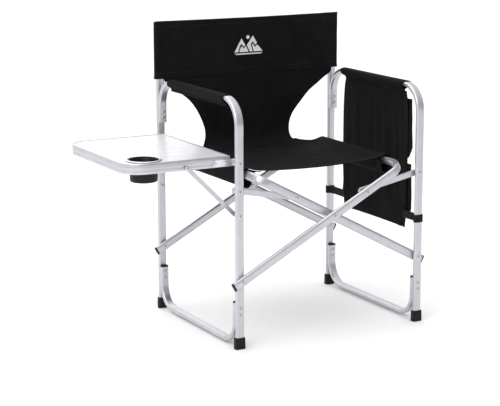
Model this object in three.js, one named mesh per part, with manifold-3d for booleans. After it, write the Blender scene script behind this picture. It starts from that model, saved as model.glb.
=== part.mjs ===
// Folding director chair with a drop-down side table and a hanging organiser.
// Millimetres, +Z up. The chair faces -Y; left and right are as seen from the front.
// The origin is on the floor, under the middle of the whole object's box.
import * as THREE from 'three';
import { mergeVertices } from 'three/addons/utils/BufferGeometryUtils.js';
import Module from 'manifold-3d';

const wasm = await Module();
wasm.setup();

// ---------------------------------------------------------------- driving dimensions

const frameWidth = 600;        // outer width across the two side frames
const legSpan = 482;           // front leg centre to rear leg centre
const tubeWide = 25;           // flat-oval tube, long way
const tubeThin = 13;           // flat-oval tube, short way
const tubeWall = 1.3;
const layerGap = 1;            // between tubes that slide past each other
const fitGap = 0.3;            // around a piece that seats on or in another

const armHeight = 678;         // centre of the armrest tube
const postAboveArm = 165;      // top of the rear posts
const armBend = 70;            // bend radius of the armrest
const armDrop = 122;           // armrest centre to the lower end of its rear drop
const armRivetBelow = 88;      // armrest centre to the rivet through drop and post

const footLength = 30;
const footWidth = 18;
const footHeight = 32;
const footSole = 4;            // rubber under the leg

const barTop = 127;            // top of the floor bar's uprights
const barClearance = 6;        // floor bar above the floor
const barBend = 65;
const barRivetBelow = 14;      // top of an upright to its rivet
const capHead = 4;             // visible part of a tube end cap
const capStem = 12;

const pivotHeight = 189;       // lower pivots of the crossed frames
const seatRailHeight = 462;
const strutLength = 581;       // lower pivot to seat rail
const strutTail = 24;          // strut below the lower pivot
const railBend = 45;

const linkReach = 444;         // lower pivot to the link's pin, along the strut
const linkPivotHeight = 433.2;
const linkWidth = 17;
const linkThick = 8;
const bossRadius = 7;
const recessDepth = 2.2;       // takes the rivet head flush

const rivetRadius = 3;
const headRadius = 5.8;
const headThick = 1.6;

const tableTop = 527;
const tableLength = 304;       // outwards from the side frame
const tableGap = 5.5;          // table edge to hinge line
const rimHeight = 28;
const rimThick = 12;
const rimLedge = 5;            // shelf that carries the board
const rimLip = 1;              // rim above the board
const boardThick = 6;
const outerCorner = 58;
const innerCorner = 10;
const hingeBelowTop = 17;
const bracketLength = 61.5;    // hinge line to the bracket's outer end
const bracketHeight = 19;
const bracketThick = 2.5;

const braceReach = 140;        // hinge line to the brace's table pin
const bracePinBelowTop = 21;
const braceWidth = 12;
const braceThick = 3;
const braceStudHeight = 368;

const cupRadius = 39;
const cupFlange = 9.5;         // flange beyond the cup wall
const cupWall = 2.2;
const cupDepth = 57;
const cupInset = [73, 57.5];     // cup centre from the table's outer edge and front edge

const clothThick = 2.5;
const panelOverhang = 6;       // back panel's sleeve beyond the frame's width
const panelAbovePost = 4;
const panelHeight = 166;
const waistHalfWidth = 128;
const waistBelowPanel = 121;
const seatFront = -168;
const seatRear = 186;
const seatLoopDrop = 38;       // seat sleeve below the rail centre
const sleeveDrop = 22;         // arm sleeve below the tube centre
const sleeveSlack = 4;

const organiserHeight = 391;
const organiserFront = -184;
const organiserRear = 166;
const organiserTaper = 14;     // the lower edge is shorter at each end
const pouchThick = 28;
const pouchLength = 312;
const upperPouch = [21, 158];   // below the organiser's top, and tall
const lowerPouch = [201, 162];
const strapHeight = 302;
const strapWidth = 22;

// ---------------------------------------------------------------- derived places

const legX = (frameWidth - tubeWide) / 2;
const legY = legSpan / 2;
const layerStep = tubeThin + layerGap;
const armRivetHeight = armHeight - armRivetBelow;
const panelHalfWidth = frameWidth / 2 + panelOverhang;
const postTop = armHeight + postAboveArm;
const panelTop = postTop + panelAbovePost;
const panelBottom = panelTop - panelHeight;
const waistHeight = panelBottom - waistBelowPanel;
const organiserTop = armHeight - sleeveDrop - clothThick - fitGap;
const organiserBottom = organiserTop - organiserHeight;
const outerLayer = legY + layerStep;          // strut in front of, or behind, the legs
const innerLayer = legY - layerStep;          // strut between the legs
const strutAngle = Math.asin((seatRailHeight - pivotHeight) / strutLength);
const crossReach = legX / Math.cos(strutAngle);
const railX = strutLength * Math.cos(strutAngle) - legX;
const pinX = linkReach * Math.cos(strutAngle) - legX;
const pinHeight = pivotHeight + linkReach * Math.sin(strutAngle);
const innerLinkY = innerLayer - tubeThin / 2 - layerGap - linkThick / 2;
const tableHalfDepth = innerLinkY - linkThick / 2 - layerGap - fitGap - bracketThick;
const hingeHeight = tableTop - hingeBelowTop;
const tableOuterX = -legX - tableGap - tableLength;
const bracketY = tableHalfDepth + fitGap + bracketThick / 2;
const braceY = bracketY + bracketThick / 2 + 3 * fitGap + braceThick / 2;
const bracePin = [-legX - braceReach, tableTop - bracePinBelowTop];
const strutEnd = strutTail + fitGap + capHead;
const strutFootX = legX + strutEnd * Math.cos(strutAngle) + (tubeWide / 2) * Math.sin(strutAngle);
const originX = (tableOuterX + Math.max(strutFootX, panelHalfWidth)) / 2;

// ---------------------------------------------------------------- materials

function finish(color, roughness, metalness) {
  return new THREE.MeshStandardMaterial({ color, roughness, metalness });
}

const aluminium = finish(0xcfcfd4, 0.38, 0.9);
const steel = finish(0xb9b9be, 0.3, 1);
const blackPlastic = finish(0x161616, 0.5, 0);
const blackCloth = finish(0x1b1b1c, 0.95, 0);
const whiteBoard = finish(0xf1f1f3, 0.25, 0);

// ---------------------------------------------------------------- geometry helpers

/** Shared vertices merged and empty triangles dropped, with positions only. */
function weld(source) {
  const bare = new THREE.BufferGeometry();
  bare.setAttribute('position', source.getAttribute('position'));
  if (source.index) bare.setIndex(source.index);
  const merged = mergeVertices(bare, 1e-4);
  const corners = Array.from(merged.index.array);
  const kept = [];
  for (let i = 0; i < corners.length; i += 3) {
    const [a, b, c] = corners.slice(i, i + 3);
    if (a !== b && b !== c && c !== a) kept.push(a, b, c);
  }
  merged.setIndex(kept);
  return merged;
}

function toSolid(geometry) {
  const welded = weld(geometry);
  const vertProperties = new Float32Array(welded.getAttribute('position').array);
  const triVerts = new Uint32Array(welded.index.array);
  return new wasm.Manifold(new wasm.Mesh({ numProp: 3, vertProperties, triVerts }));
}

function toGeometry(solid) {
  const mesh = solid.getMesh();
  const geometry = new THREE.BufferGeometry();
  geometry.setAttribute('position', new THREE.BufferAttribute(new Float32Array(mesh.vertProperties), 3));
  geometry.setIndex(Array.from(mesh.triVerts));
  return geometry;
}

function cut(body, ...tools) {
  return toGeometry(tools.reduce((solid, tool) => solid.subtract(toSolid(tool)), toSolid(body)));
}

function join(body, ...others) {
  return toGeometry(others.reduce((solid, other) => solid.add(toSolid(other)), toSolid(body)));
}

/** Outline of a bar with round ends: `across` along the outline's x, `up` along its y. */
function ovalPoints(across, up, centreX = 0, centreY = 0, steps = 4) {
  const radius = Math.min(across, up) / 2;
  const reach = (Math.max(across, up) - 2 * radius) / 2;
  const lying = across >= up;
  const points = [];
  for (const side of [1, -1]) {
    for (let i = 0; i <= steps; i += 1) {
      const turn = Math.PI * (i / steps - 0.5) + (side > 0 ? 0 : Math.PI);
      const along = side * reach + radius * Math.cos(turn);
      const aside = radius * Math.sin(turn);
      points.push(new THREE.Vector2(centreX + (lying ? along : -aside), centreY + (lying ? aside : along)));
    }
  }
  return points;
}

const oval = (...size) => new THREE.Shape(ovalPoints(...size));

function ovalRing(outer, inner) {
  const shape = oval(...outer);
  shape.holes.push(new THREE.Path(ovalPoints(...inner)));
  return shape;
}

const tubeSection = () => ovalRing([tubeWide, tubeThin], [tubeWide - 2 * tubeWall, tubeThin - 2 * tubeWall]);

const outline = (points) => new THREE.Shape(points.map(([x, y]) => new THREE.Vector2(x, y)));

const rectangle = (x0, y0, x1, y1) => outline([[x0, y0], [x1, y0], [x1, y1], [x0, y1]]);

/** Rectangle whose four corners, from low x and low y counter-clockwise, have their own radii. */
function roundedRectangle(x0, y0, x1, y1, radii, steps = 5) {
  const centres = [[x0, y0, 1, 1], [x1, y0, -1, 1], [x1, y1, -1, -1], [x0, y1, 1, -1]];
  const points = [];
  centres.forEach(([x, y, inX, inY], corner) => {
    const radius = radii[corner];
    for (let i = 0; i <= steps; i += 1) {
      const turn = Math.PI * (1 + corner / 2) + (i / steps) * (Math.PI / 2);
      const across = x + inX * radius + radius * Math.cos(turn);
      points.push(new THREE.Vector2(across, y + inY * radius + radius * Math.sin(turn)));
    }
  });
  return new THREE.Shape(points);
}

const prism = (shape, depth) => new THREE.ExtrudeGeometry(shape, { depth, bevelEnabled: false });

/** Outline in x and y, carried from z0 to z1. */
const prismZ = (shape, z0, z1) => prism(shape, z1 - z0).translate(0, 0, z0);

/** Outline in x and z, carried from y0 to y1. */
const prismY = (shape, y0, y1) => prism(shape, y1 - y0).rotateX(Math.PI / 2).translate(0, y1, 0);

/** Turns a piece drawn in x and y into the side plane, y and z. */
const sideways = new THREE.Matrix4().makeBasis(
  new THREE.Vector3(0, 1, 0), new THREE.Vector3(0, 0, 1), new THREE.Vector3(1, 0, 0));

/** Outline in y and z, carried from x0 to x1. */
const prismX = (shape, x0, x1) => prism(shape, x1 - x0).applyMatrix4(sideways).translate(x0, 0, 0);

/** A flat route of straights joined by round bends; its stations are the tube's rings. */
class BentRoute extends THREE.Curve {
  constructor(corners, bendSteps = 5) {
    super();
    this.stations = [];
    const spots = corners.map(([x, y]) => new THREE.Vector3(x, y, 0));
    const heading = (i) => spots[i + 1].clone().sub(spots[i]).normalize();
    spots.forEach((spot, i) => {
      if (i === 0 || i === spots.length - 1) {
        this.stations.push({ point: spot, tangent: heading(Math.min(i, spots.length - 2)) });
        return;
      }
      const radius = corners[i][2];
      const before = heading(i - 1);
      const after = heading(i);
      const turn = before.angleTo(after) * Math.sign(before.x * after.y - before.y * after.x);
      const start = spot.clone().addScaledVector(before, -radius * Math.tan(Math.abs(turn) / 2));
      const outward = new THREE.Vector3(before.y, -before.x, 0).multiplyScalar(Math.sign(turn));
      const centre = start.clone().addScaledVector(outward, -radius);
      for (let k = 0; k <= bendSteps; k += 1) {
        const angle = (turn * k) / bendSteps;
        const up = new THREE.Vector3(0, 0, 1);
        const point = outward.clone().applyAxisAngle(up, angle).multiplyScalar(radius).add(centre);
        this.stations.push({ point, tangent: before.clone().applyAxisAngle(up, angle) });
      }
    });
  }

  station(u) {
    return this.stations[Math.round(u * (this.stations.length - 1))];
  }

  getPointAt(u, target = new THREE.Vector3()) {
    return target.copy(this.station(u).point);
  }

  getTangentAt(u, target = new THREE.Vector3()) {
    return target.copy(this.station(u).tangent);
  }
}

/** Hollow flat-oval tube along a flat route, its long way square to the route's plane. */
function bentTube(corners) {
  const extrudePath = new BentRoute(corners);
  return new THREE.ExtrudeGeometry(tubeSection(), { steps: extrudePath.stations.length - 1, extrudePath });
}

/** Round bar along y. */
function barY(radius, y0, y1, x = 0, z = 0, sides = 10) {
  return new THREE.CylinderGeometry(radius, radius, y1 - y0, sides).translate(x, (y0 + y1) / 2, z);
}

/** Rivet along y: heads just outside y0 and y1, and a collar between the given faces. */
function rivet(y0, y1, collar = null) {
  const low = y0 - fitGap;
  const high = y1 + fitGap;
  const crown = [headRadius * 0.7, headThick * 0.85];
  const profile = [[0, low - headThick], [crown[0], low - crown[1]], [headRadius, low], [rivetRadius, low]];
  if (collar) {
    const [start, end] = collar;
    profile.push([rivetRadius, start], [bossRadius, start], [bossRadius, end], [rivetRadius, end]);
  }
  profile.push([rivetRadius, high], [headRadius, high], [crown[0], high + crown[1]], [0, high + headThick]);
  return new THREE.LatheGeometry(profile.map(([r, y]) => new THREE.Vector2(r, y)), 10);
}

const chair = new THREE.Group();
chair.position.x = -originX;

function add(name, geometry, material, parent = chair, place = [0, 0, 0]) {
  const mesh = new THREE.Mesh(weld(geometry), material);
  mesh.name = name;
  mesh.position.set(...place);
  parent.add(mesh);
}

// ---------------------------------------------------------------- tube end caps

/** Plug for an open tube end: a head outside the end and a stem inside, along +z from the tube's end. */
function endCap() {
  const stem = [tubeWide - 2 * tubeWall - 2 * fitGap, tubeThin - 2 * tubeWall - 2 * fitGap];
  const head = prismZ(oval(tubeWide, tubeThin), fitGap, fitGap + capHead);
  return join(head, prismZ(oval(...stem), -capStem, fitGap + 1));
}

// ---------------------------------------------------------------- side frames

/** Leg and armrest in one tube, rear post, floor bar, feet and armrest sleeve of one side. */
function buildSideFrame(side, legHoles) {
  const group = new THREE.Group();
  group.position.x = side === 'left' ? -legX : legX;
  chair.add(group);
  const rearDropY = legY - tubeThin - 2 * fitGap;
  const legFoot = footSole + fitGap;
  const through = legY + tubeThin;
  const hole = (height, from = -through) => barY(rivetRadius + fitGap, from, through, 0, height);
  const barHole = hole(barTop - barRivetBelow);
  const armHole = hole(armRivetHeight, rearDropY - tubeThin);
  const holes = legHoles.map((height) => hole(height));

  const armRoute = [
    [-legY, legFoot], [-legY, armHeight, armBend],
    [rearDropY, armHeight, armBend], [rearDropY, armHeight - armDrop],
  ];
  const armTube = bentTube(armRoute).applyMatrix4(sideways);
  add(`${side}_front_leg_and_arm`, cut(armTube, barHole, armHole, ...holes), aluminium, group);

  const post = bentTube([[legY, legFoot], [legY, postTop]]).applyMatrix4(sideways);
  add(`${side}_rear_post`, cut(post, barHole, armHole, ...holes), aluminium, group);

  const barY0 = legY - tubeThin - 0.5;
  const barZ0 = barClearance + tubeThin / 2;
  const barRoute = [[-barY0, barTop], [-barY0, barZ0, barBend], [barY0, barZ0, barBend], [barY0, barTop]];
  add(`${side}_floor_bar`, cut(bentTube(barRoute).applyMatrix4(sideways), barHole), aluminium, group);

  for (const [end, sign] of [['front', -1], ['rear', 1]]) {
    add(`${side}_floor_bar_${end}_cap`, endCap(), blackPlastic, group, [0, sign * barY0, barTop]);
    const halfSole = [footLength / 2, footWidth / 2];
    const sole = roundedRectangle(-halfSole[0], -halfSole[1], ...halfSole, [4, 4, 4, 4], 3);
    const block = prismZ(sole, 0, footHeight);
    const socket = prismZ(oval(tubeWide + 2 * fitGap, tubeThin + 2 * fitGap), footSole, footHeight + 1);
    add(`${side}_${end}_foot`, cut(block, socket), blackPlastic, group, [0, sign * legY, 0]);
  }

  const armRivet = rivet(rearDropY - tubeThin / 2, legY + tubeThin / 2);
  add(`${side}_arm_rivet`, armRivet, steel, group, [0, 0, armRivetHeight]);

  const sleeveWide = tubeWide + 2 * sleeveSlack;
  const sleeveTop = tubeThin / 2 + sleeveSlack;
  const sleeveTall = sleeveTop + sleeveDrop;
  const sleeveZ = armHeight + (sleeveTop - sleeveDrop) / 2;
  const loop = (grow) => [sleeveWide + 2 * grow, sleeveTall + 2 * grow, 0, sleeveZ];
  const sleeveRing = ovalRing(loop(clothThick), loop(0));
  const sleeve = prismY(sleeveRing, armBend - legY - 3, rearDropY - armBend + 8);
  add(`${side}_arm_sleeve`, sleeve, blackCloth, group);
  return group;
}

const pivotHoles = [pivotHeight, linkPivotHeight];
const leftSide = buildSideFrame('left', [...pivotHoles, braceStudHeight, hingeHeight]);
const rightSide = buildSideFrame('right', pivotHoles);

// ---------------------------------------------------------------- crossed seat frames

/** One U tube: front strut, seat rail and rear strut. Local x runs up the strut from the lower pivot. */
function buildSeatFrame(name, half) {
  const group = new THREE.Group();
  group.position.set(-legX, 0, pivotHeight);
  group.rotation.y = -strutAngle;
  half.add(group);
  const route = [
    [-strutTail, -outerLayer], [strutLength, -outerLayer, railBend],
    [strutLength, innerLayer, railBend], [-strutTail, innerLayer],
  ];
  const reach = outerLayer + tubeThin;
  const holes = [0, crossReach, linkReach].map((along) => barY(rivetRadius + fitGap, -reach, reach, along));
  add(name, cut(bentTube(route), ...holes), aluminium, group);
  const caps = [['front', -outerLayer], ['rear', innerLayer]];
  for (const [end, y] of caps) {
    // half b is turned end for end, so its local front cap is at the chair's rear
    const turned = name.endsWith('_b') ? { front: 'rear', rear: 'front' }[end] : end;
    const cap = endCap().rotateY(-Math.PI / 2);
    add(`${name}_${turned}_cap`, cap, blackPlastic, group, [-strutTail, y, 0]);
  }
}

// The chair's lower half repeats when turned end for end: each half holds one seat frame,
// its two lower pivots, one crossing rivet and two links.
const halfA = new THREE.Group();
const halfB = new THREE.Group();
halfB.rotation.z = Math.PI;
chair.add(halfA, halfB);
buildSeatFrame('seat_frame_a', halfA);
buildSeatFrame('seat_frame_b', halfB);

const faceOut = (layer) => layer + tubeThin / 2;
const faceIn = (layer) => layer - tubeThin / 2;

function buildPivots(half, letter, side, crossing) {
  const ends = letter === 'a' ? ['front', 'rear'] : ['rear', 'front'];
  const place = [-legX, 0, pivotHeight];
  add(`${side}_${ends[0]}_pivot_rivet`, rivet(-faceOut(outerLayer), -faceIn(legY)), steel, half, place);
  add(`${side}_${ends[1]}_pivot_rivet`, rivet(faceIn(innerLayer), faceOut(legY)), steel, half, place);
  const collar = [-faceIn(outerLayer) + fitGap, -faceOut(innerLayer) - fitGap];
  add(`${crossing}_crossing_rivet`, rivet(-faceOut(outerLayer), -faceIn(innerLayer), collar), steel, half,
    [0, 0, pivotHeight + crossReach * Math.sin(strutAngle)]);
}
buildPivots(halfA, 'a', 'left', 'front');
buildPivots(halfB, 'b', 'right', 'rear');

/**
 * Link from a leg pivot to the pin on a strut, drawn for the right front leg's side (x positive).
 * `y` is the link's own layer; bosses fill the way to the leg and to the strut.
 */
function linkBody(y, legBoss, pinBoss) {
  const dx = pinX - legX;
  const dz = pinHeight - linkPivotHeight;
  const length = Math.hypot(dx, dz);
  const plan = oval(length + linkWidth, linkWidth, length / 2, 0);
  const flat = prismY(plan, y - linkThick / 2, y + linkThick / 2);
  const bar = flat.rotateY(-Math.atan2(dz, dx)).translate(legX, 0, linkPivotHeight);
  const bosses = [barY(bossRadius, ...legBoss, legX, linkPivotHeight)];
  if (pinBoss) bosses.push(barY(bossRadius, ...pinBoss, pinX, pinHeight));
  const bore = barY(rivetRadius + fitGap, -legY, y + linkThick, legX, linkPivotHeight);
  const inner = y + linkThick / 2;
  const recess = barY(headRadius + 2 * fitGap, inner - recessDepth, inner + 1, legX, linkPivotHeight);
  return cut(join(bar, ...bosses), bore, recess);
}

function buildLinks(half, names) {
  const [outerName, innerName] = names;
  const legFace = -faceIn(legY) + 2 * fitGap;
  const strutFace = -faceIn(outerLayer) + 2 * fitGap;
  const outerY = -innerLayer;
  const inset = recessDepth - fitGap;
  const headSeat = (y) => y + linkThick / 2 - inset - fitGap;

  const outerLink = linkBody(outerY, [legFace, outerY], [strutFace, outerY]);
  add(`${outerName}_link`, outerLink, aluminium, half);
  const outerRivet = rivet(-faceOut(legY), headSeat(outerY));
  add(`${outerName}_link_rivet`, outerRivet, steel, half, [legX, 0, linkPivotHeight]);

  // the inner link is the mirror image, at the opposite leg
  const innerLink = linkBody(-innerLinkY, [legFace, -innerLinkY], null);
  const mirrored = new THREE.Matrix4().makeScale(-1, 1, 1);
  add(`${innerName}_link`, toGeometry(toSolid(innerLink).transform(mirrored.elements)), aluminium, half);
  const innerRivet = rivet(-faceOut(legY), headSeat(-innerLinkY));
  add(`${innerName}_link_rivet`, innerRivet, steel, half, [-legX, 0, linkPivotHeight]);
}
buildLinks(halfA, ['right_front', 'left_front']);
buildLinks(halfB, ['left_rear', 'right_rear']);

// ---------------------------------------------------------------- side table

const tableInnerX = -legX - tableGap;

/** Table outline, drawn in by `inset` from the rim's outer face. */
function tableOutline(inset) {
  const outer = outerCorner - inset;
  const inner = Math.max(innerCorner - inset, 2);
  const y = tableHalfDepth - inset;
  return roundedRectangle(tableOuterX + inset, -y, tableInnerX - inset, y, [outer, inner, inner, outer]);
}

const cupX = tableOuterX + cupInset[0];
const cupY = -tableHalfDepth + cupInset[1];
const boardTop = tableTop - rimLip;

function buildTable() {
  const shelf = boardTop - boardThick;
  const rebate = rimThick - rimLedge;
  const pin = barY(rivetRadius + fitGap, -tableHalfDepth - 1, -tableHalfDepth + rimThick + 1, ...bracePin);
  const rim = cut(prismZ(tableOutline(0), tableTop - rimHeight, tableTop),
    prismZ(tableOutline(rebate), shelf - fitGap, tableTop + 1),
    prismZ(tableOutline(rimThick), tableTop - rimHeight - 1, tableTop), pin);
  add('table_rim', rim, aluminium);

  const well = new THREE.Shape(ovalPoints(2 * cupRadius + 1.4, 2 * cupRadius + 1.4, cupX, cupY, 10));
  const panel = prismZ(tableOutline(rebate + fitGap), shelf, boardTop);
  const board = cut(panel, prismZ(well, shelf - 1, tableTop));
  add('table_board', board, whiteBoard);

  const flange = cupRadius + cupFlange;
  const foot = cupRadius - 2;
  const cupProfile = [[0, -cupDepth], [foot, -cupDepth], [cupRadius, 0], [flange, fitGap], [flange, 3],
    [cupRadius - cupWall + 1, 3], [foot - cupWall, -cupDepth + 2.5], [0, -cupDepth + 2.5]];
  const cup = new THREE.LatheGeometry(cupProfile.map(([r, y]) => new THREE.Vector2(r, y)), 24);
  add('cup_holder', cup.rotateX(Math.PI / 2), blackPlastic, chair, [cupX, cupY, tableTop]);

  for (const [end, sign] of [['front', -1], ['rear', 1]]) {
    const reach = bracketLength + bracketHeight / 2;
    const plan = oval(reach, bracketHeight, (bracketHeight / 2 - bracketLength) / 2, 0);
    const plate = prismY(plan, -bracketThick / 2, bracketThick / 2);
    const bore = barY(rivetRadius + fitGap, -bracketThick, bracketThick);
    add(`table_${end}_bracket`, cut(plate, bore), aluminium, chair, [-legX, sign * bracketY, hingeHeight]);
    const ends = [-faceOut(legY), -bracketY + bracketThick / 2].map((y) => -sign * y).sort((a, b) => a - b);
    add(`table_${end}_hinge_rivet`, rivet(...ends), steel, chair, [-legX, 0, hingeHeight]);
  }
}
buildTable();

/** Flat brace from the table's front rail down to the stud on the front leg. */
function buildBrace() {
  const dx = braceReach;
  const dz = braceStudHeight - bracePin[1];
  const length = Math.hypot(dx, dz);
  const bar = prismY(oval(length + braceWidth, braceWidth, length / 2, 0), -braceThick / 2, braceThick / 2);
  const bores = [0, length].map((along) => barY(rivetRadius + fitGap, -braceThick, braceThick, along));
  const brace = cut(bar, ...bores).rotateY(-Math.atan2(dz, dx));
  add('table_brace', brace, aluminium, chair, [bracePin[0], -braceY, bracePin[1]]);
  const braceRivet = rivet(-braceY - braceThick / 2, -tableHalfDepth + rimThick);
  add('table_brace_rivet', braceRivet, steel, chair, [bracePin[0], 0, bracePin[1]]);
  // the front stud stops short of the brace rivet, which comes down beside it when the table drops
  const studEnd = -braceY - braceThick / 2 - 4 * fitGap - 2 * headThick;
  add('left_front_brace_stud', rivet(-faceOut(legY), studEnd), steel, chair, [-legX, 0, braceStudHeight]);
  add('left_rear_brace_stud', rivet(faceIn(legY), faceOut(legY)), steel, chair, [-legX, 0, braceStudHeight]);
}
buildBrace();

// ---------------------------------------------------------------- fabric

/** Back panel between the posts, with a sleeve round each. */
function backPanel() {
  const near = legX - tubeWide / 2 - 2 * fitGap;
  const far = panelHalfWidth - clothThick;
  const deep = tubeThin + 4 * fitGap;
  const loop = (grow, sign) => [far - near + 2 * grow, deep + 2 * grow, (sign * (near + far)) / 2, legY];
  const sheet = rectangle(-near - 3, legY - clothThick / 2, near + 3, legY + clothThick / 2);
  const outers = [1, -1].map((sign) => prismZ(oval(...loop(clothThick, sign)), panelBottom, panelTop));
  const inners = [1, -1].map((sign) => prismZ(oval(...loop(0, sign)), panelBottom - 1, panelTop + 1));
  return cut(join(prismZ(sheet, panelBottom, panelTop), ...outers), ...inners);
}
add('back_panel', backPanel(), blackCloth);

/** Lower back: as wide as the posts at its top, drawn in to a waist, out again to the seat rails. */
function lowerBack() {
  const top = panelBottom - 1;
  const bottom = seatRailHeight + 18;
  const topHalf = legX - tubeWide / 2 - 2;
  const halfWidth = (z) => {
    const above = z > waistHeight;
    const t = (z - waistHeight) / (above ? top - waistHeight : waistHeight - bottom);
    return waistHalfWidth + ((above ? topHalf : railX - 20) - waistHalfWidth) * t * t;
  };
  const steps = 12;
  const heights = Array.from({ length: steps + 1 }, (_, i) => bottom + ((top - bottom) * i) / steps);
  const right = heights.map((z) => new THREE.Vector2(halfWidth(z), z - bottom));
  const left = heights.map((z) => new THREE.Vector2(-halfWidth(z), z - bottom)).reverse();
  const lean = Math.atan2(legY - seatRear - 12, top - bottom);
  const sheet = prismY(new THREE.Shape([...right, ...left]), -clothThick / 2, clothThick / 2);
  return sheet.rotateX(-lean).translate(0, seatRear + 8, bottom);
}
add('lower_back', lowerBack(), blackCloth);

/** Seat cloth between the rails, with a hanging sleeve round each. */
function seatCloth() {
  const reach = Math.hypot(tubeWide, tubeThin) / 2 + 2;
  const loopTop = seatRailHeight + reach + 1;
  const loopBottom = seatRailHeight - seatLoopDrop;
  const middle = (loopTop + loopBottom) / 2;
  const tall = loopTop - loopBottom - 2 * clothThick;
  const loop = (grow, sign) => oval(2 * (reach + grow), tall + 2 * grow, sign * railX, middle, 6);
  const level = seatRailHeight + 8;
  const end = railX - reach + 1;
  const sheet = rectangle(-end, level - clothThick / 2, end, level + clothThick / 2);
  const outers = [1, -1].map((sign) => prismY(loop(clothThick, sign), seatFront, seatRear));
  const inners = [1, -1].map((sign) => prismY(loop(0, sign), seatFront - 1, seatRear + 1));
  return cut(join(prismY(sheet, seatFront, seatRear), ...outers), ...inners);
}
add('seat_cloth', seatCloth(), blackCloth);

/** Organiser that hangs in the right side frame: backing panel, two open pouches and two leg straps. */
function buildOrganiser() {
  const panel = outline([
    [organiserFront, organiserTop], [organiserFront + organiserTaper, organiserBottom],
    [organiserRear - organiserTaper, organiserBottom], [organiserRear, organiserTop],
  ]);
  add('organiser_panel', prismX(panel, -clothThick / 2, clothThick / 2), blackCloth, rightSide);

  const middle = (organiserFront + organiserRear) / 2;
  const x0 = clothThick / 2 + fitGap;
  for (const [name, [below, tall]] of [['upper', upperPouch], ['lower', lowerPouch]]) {
    const half = pouchLength / 2;
    const high = organiserTop - below;
    const low = high - tall;
    const bag = roundedRectangle(middle - half, low, middle + half, high, [8, 8, 0.5, 0.5], 3);
    const wall = 1.8;
    const space = [middle - half + wall, low + wall, middle + half - wall, high + 2];
    const inside = prismX(roundedRectangle(...space, [7, 7, 0.5, 0.5], 3), x0 + wall, x0 + pouchThick - wall);
    add(`organiser_${name}_pouch`, cut(prismX(bag, x0, x0 + pouchThick), inside), blackCloth, rightSide);
  }

  const half = strapWidth / 2;
  const drawnIn = (organiserTaper * (organiserTop - strapHeight - half)) / organiserHeight;
  const straps = [['front', -1, organiserFront + drawnIn], ['rear', 1, organiserRear - drawnIn]];
  const clear = (size, grow) => size + 4 * fitGap + 2 * grow;
  for (const [name, sign, edge] of straps) {
    const loop = (grow) => oval(clear(tubeWide, grow), clear(tubeThin, grow), 0, sign * legY);
    const start = Math.abs(edge) + 2;
    const end = legY - tubeThin / 2 - 2 * fitGap - 1;
    const y = [sign * start, sign * end].sort((a, b) => a - b);
    const tab = rectangle(-1, y[0], 1, y[1]);
    const band = join(prismZ(loop(2), -half, half), prismZ(tab, -half, half));
    const strap = cut(band, prismZ(loop(0), -half - 1, half + 1));
    add(`organiser_${name}_strap`, strap, blackCloth, rightSide, [0, 0, strapHeight]);
  }
}
buildOrganiser();

export default chair;
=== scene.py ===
"""Folding director chair with a drop-down side table and a hanging organiser.

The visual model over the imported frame. Sizes in the classes are millimetres, measured
from the floor under the middle of the chair's own frame: x across it, y from its front
to its rear, z up. Plan turns them into the frame's metres.
"""
from __future__ import annotations

import logging
import math
from dataclasses import dataclass, field
from enum import Enum
from typing import Any, Callable, Sequence

import bmesh
import bpy
import numpy as np
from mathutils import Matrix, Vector, noise

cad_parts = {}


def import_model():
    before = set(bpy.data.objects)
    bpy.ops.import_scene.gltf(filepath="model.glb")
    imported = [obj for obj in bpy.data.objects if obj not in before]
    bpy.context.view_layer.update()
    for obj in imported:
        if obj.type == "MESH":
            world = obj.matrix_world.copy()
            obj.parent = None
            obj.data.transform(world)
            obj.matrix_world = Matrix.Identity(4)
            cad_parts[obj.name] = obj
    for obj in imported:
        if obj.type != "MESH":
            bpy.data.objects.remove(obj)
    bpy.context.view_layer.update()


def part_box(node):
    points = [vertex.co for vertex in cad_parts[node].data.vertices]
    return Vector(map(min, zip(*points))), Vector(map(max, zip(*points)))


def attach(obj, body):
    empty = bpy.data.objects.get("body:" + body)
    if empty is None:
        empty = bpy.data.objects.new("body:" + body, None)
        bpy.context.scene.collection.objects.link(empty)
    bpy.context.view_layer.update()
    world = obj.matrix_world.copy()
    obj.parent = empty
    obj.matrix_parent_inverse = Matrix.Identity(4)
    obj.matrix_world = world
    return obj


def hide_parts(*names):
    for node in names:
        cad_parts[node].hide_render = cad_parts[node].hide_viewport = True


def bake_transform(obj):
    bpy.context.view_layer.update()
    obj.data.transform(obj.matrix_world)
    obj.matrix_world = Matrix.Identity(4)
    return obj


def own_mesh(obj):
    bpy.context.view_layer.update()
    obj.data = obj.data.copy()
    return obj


log = logging.getLogger("director_chair")
Points = np.ndarray
MM = 0.001


# ---------------------------------------------------------------- shader graphs


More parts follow.
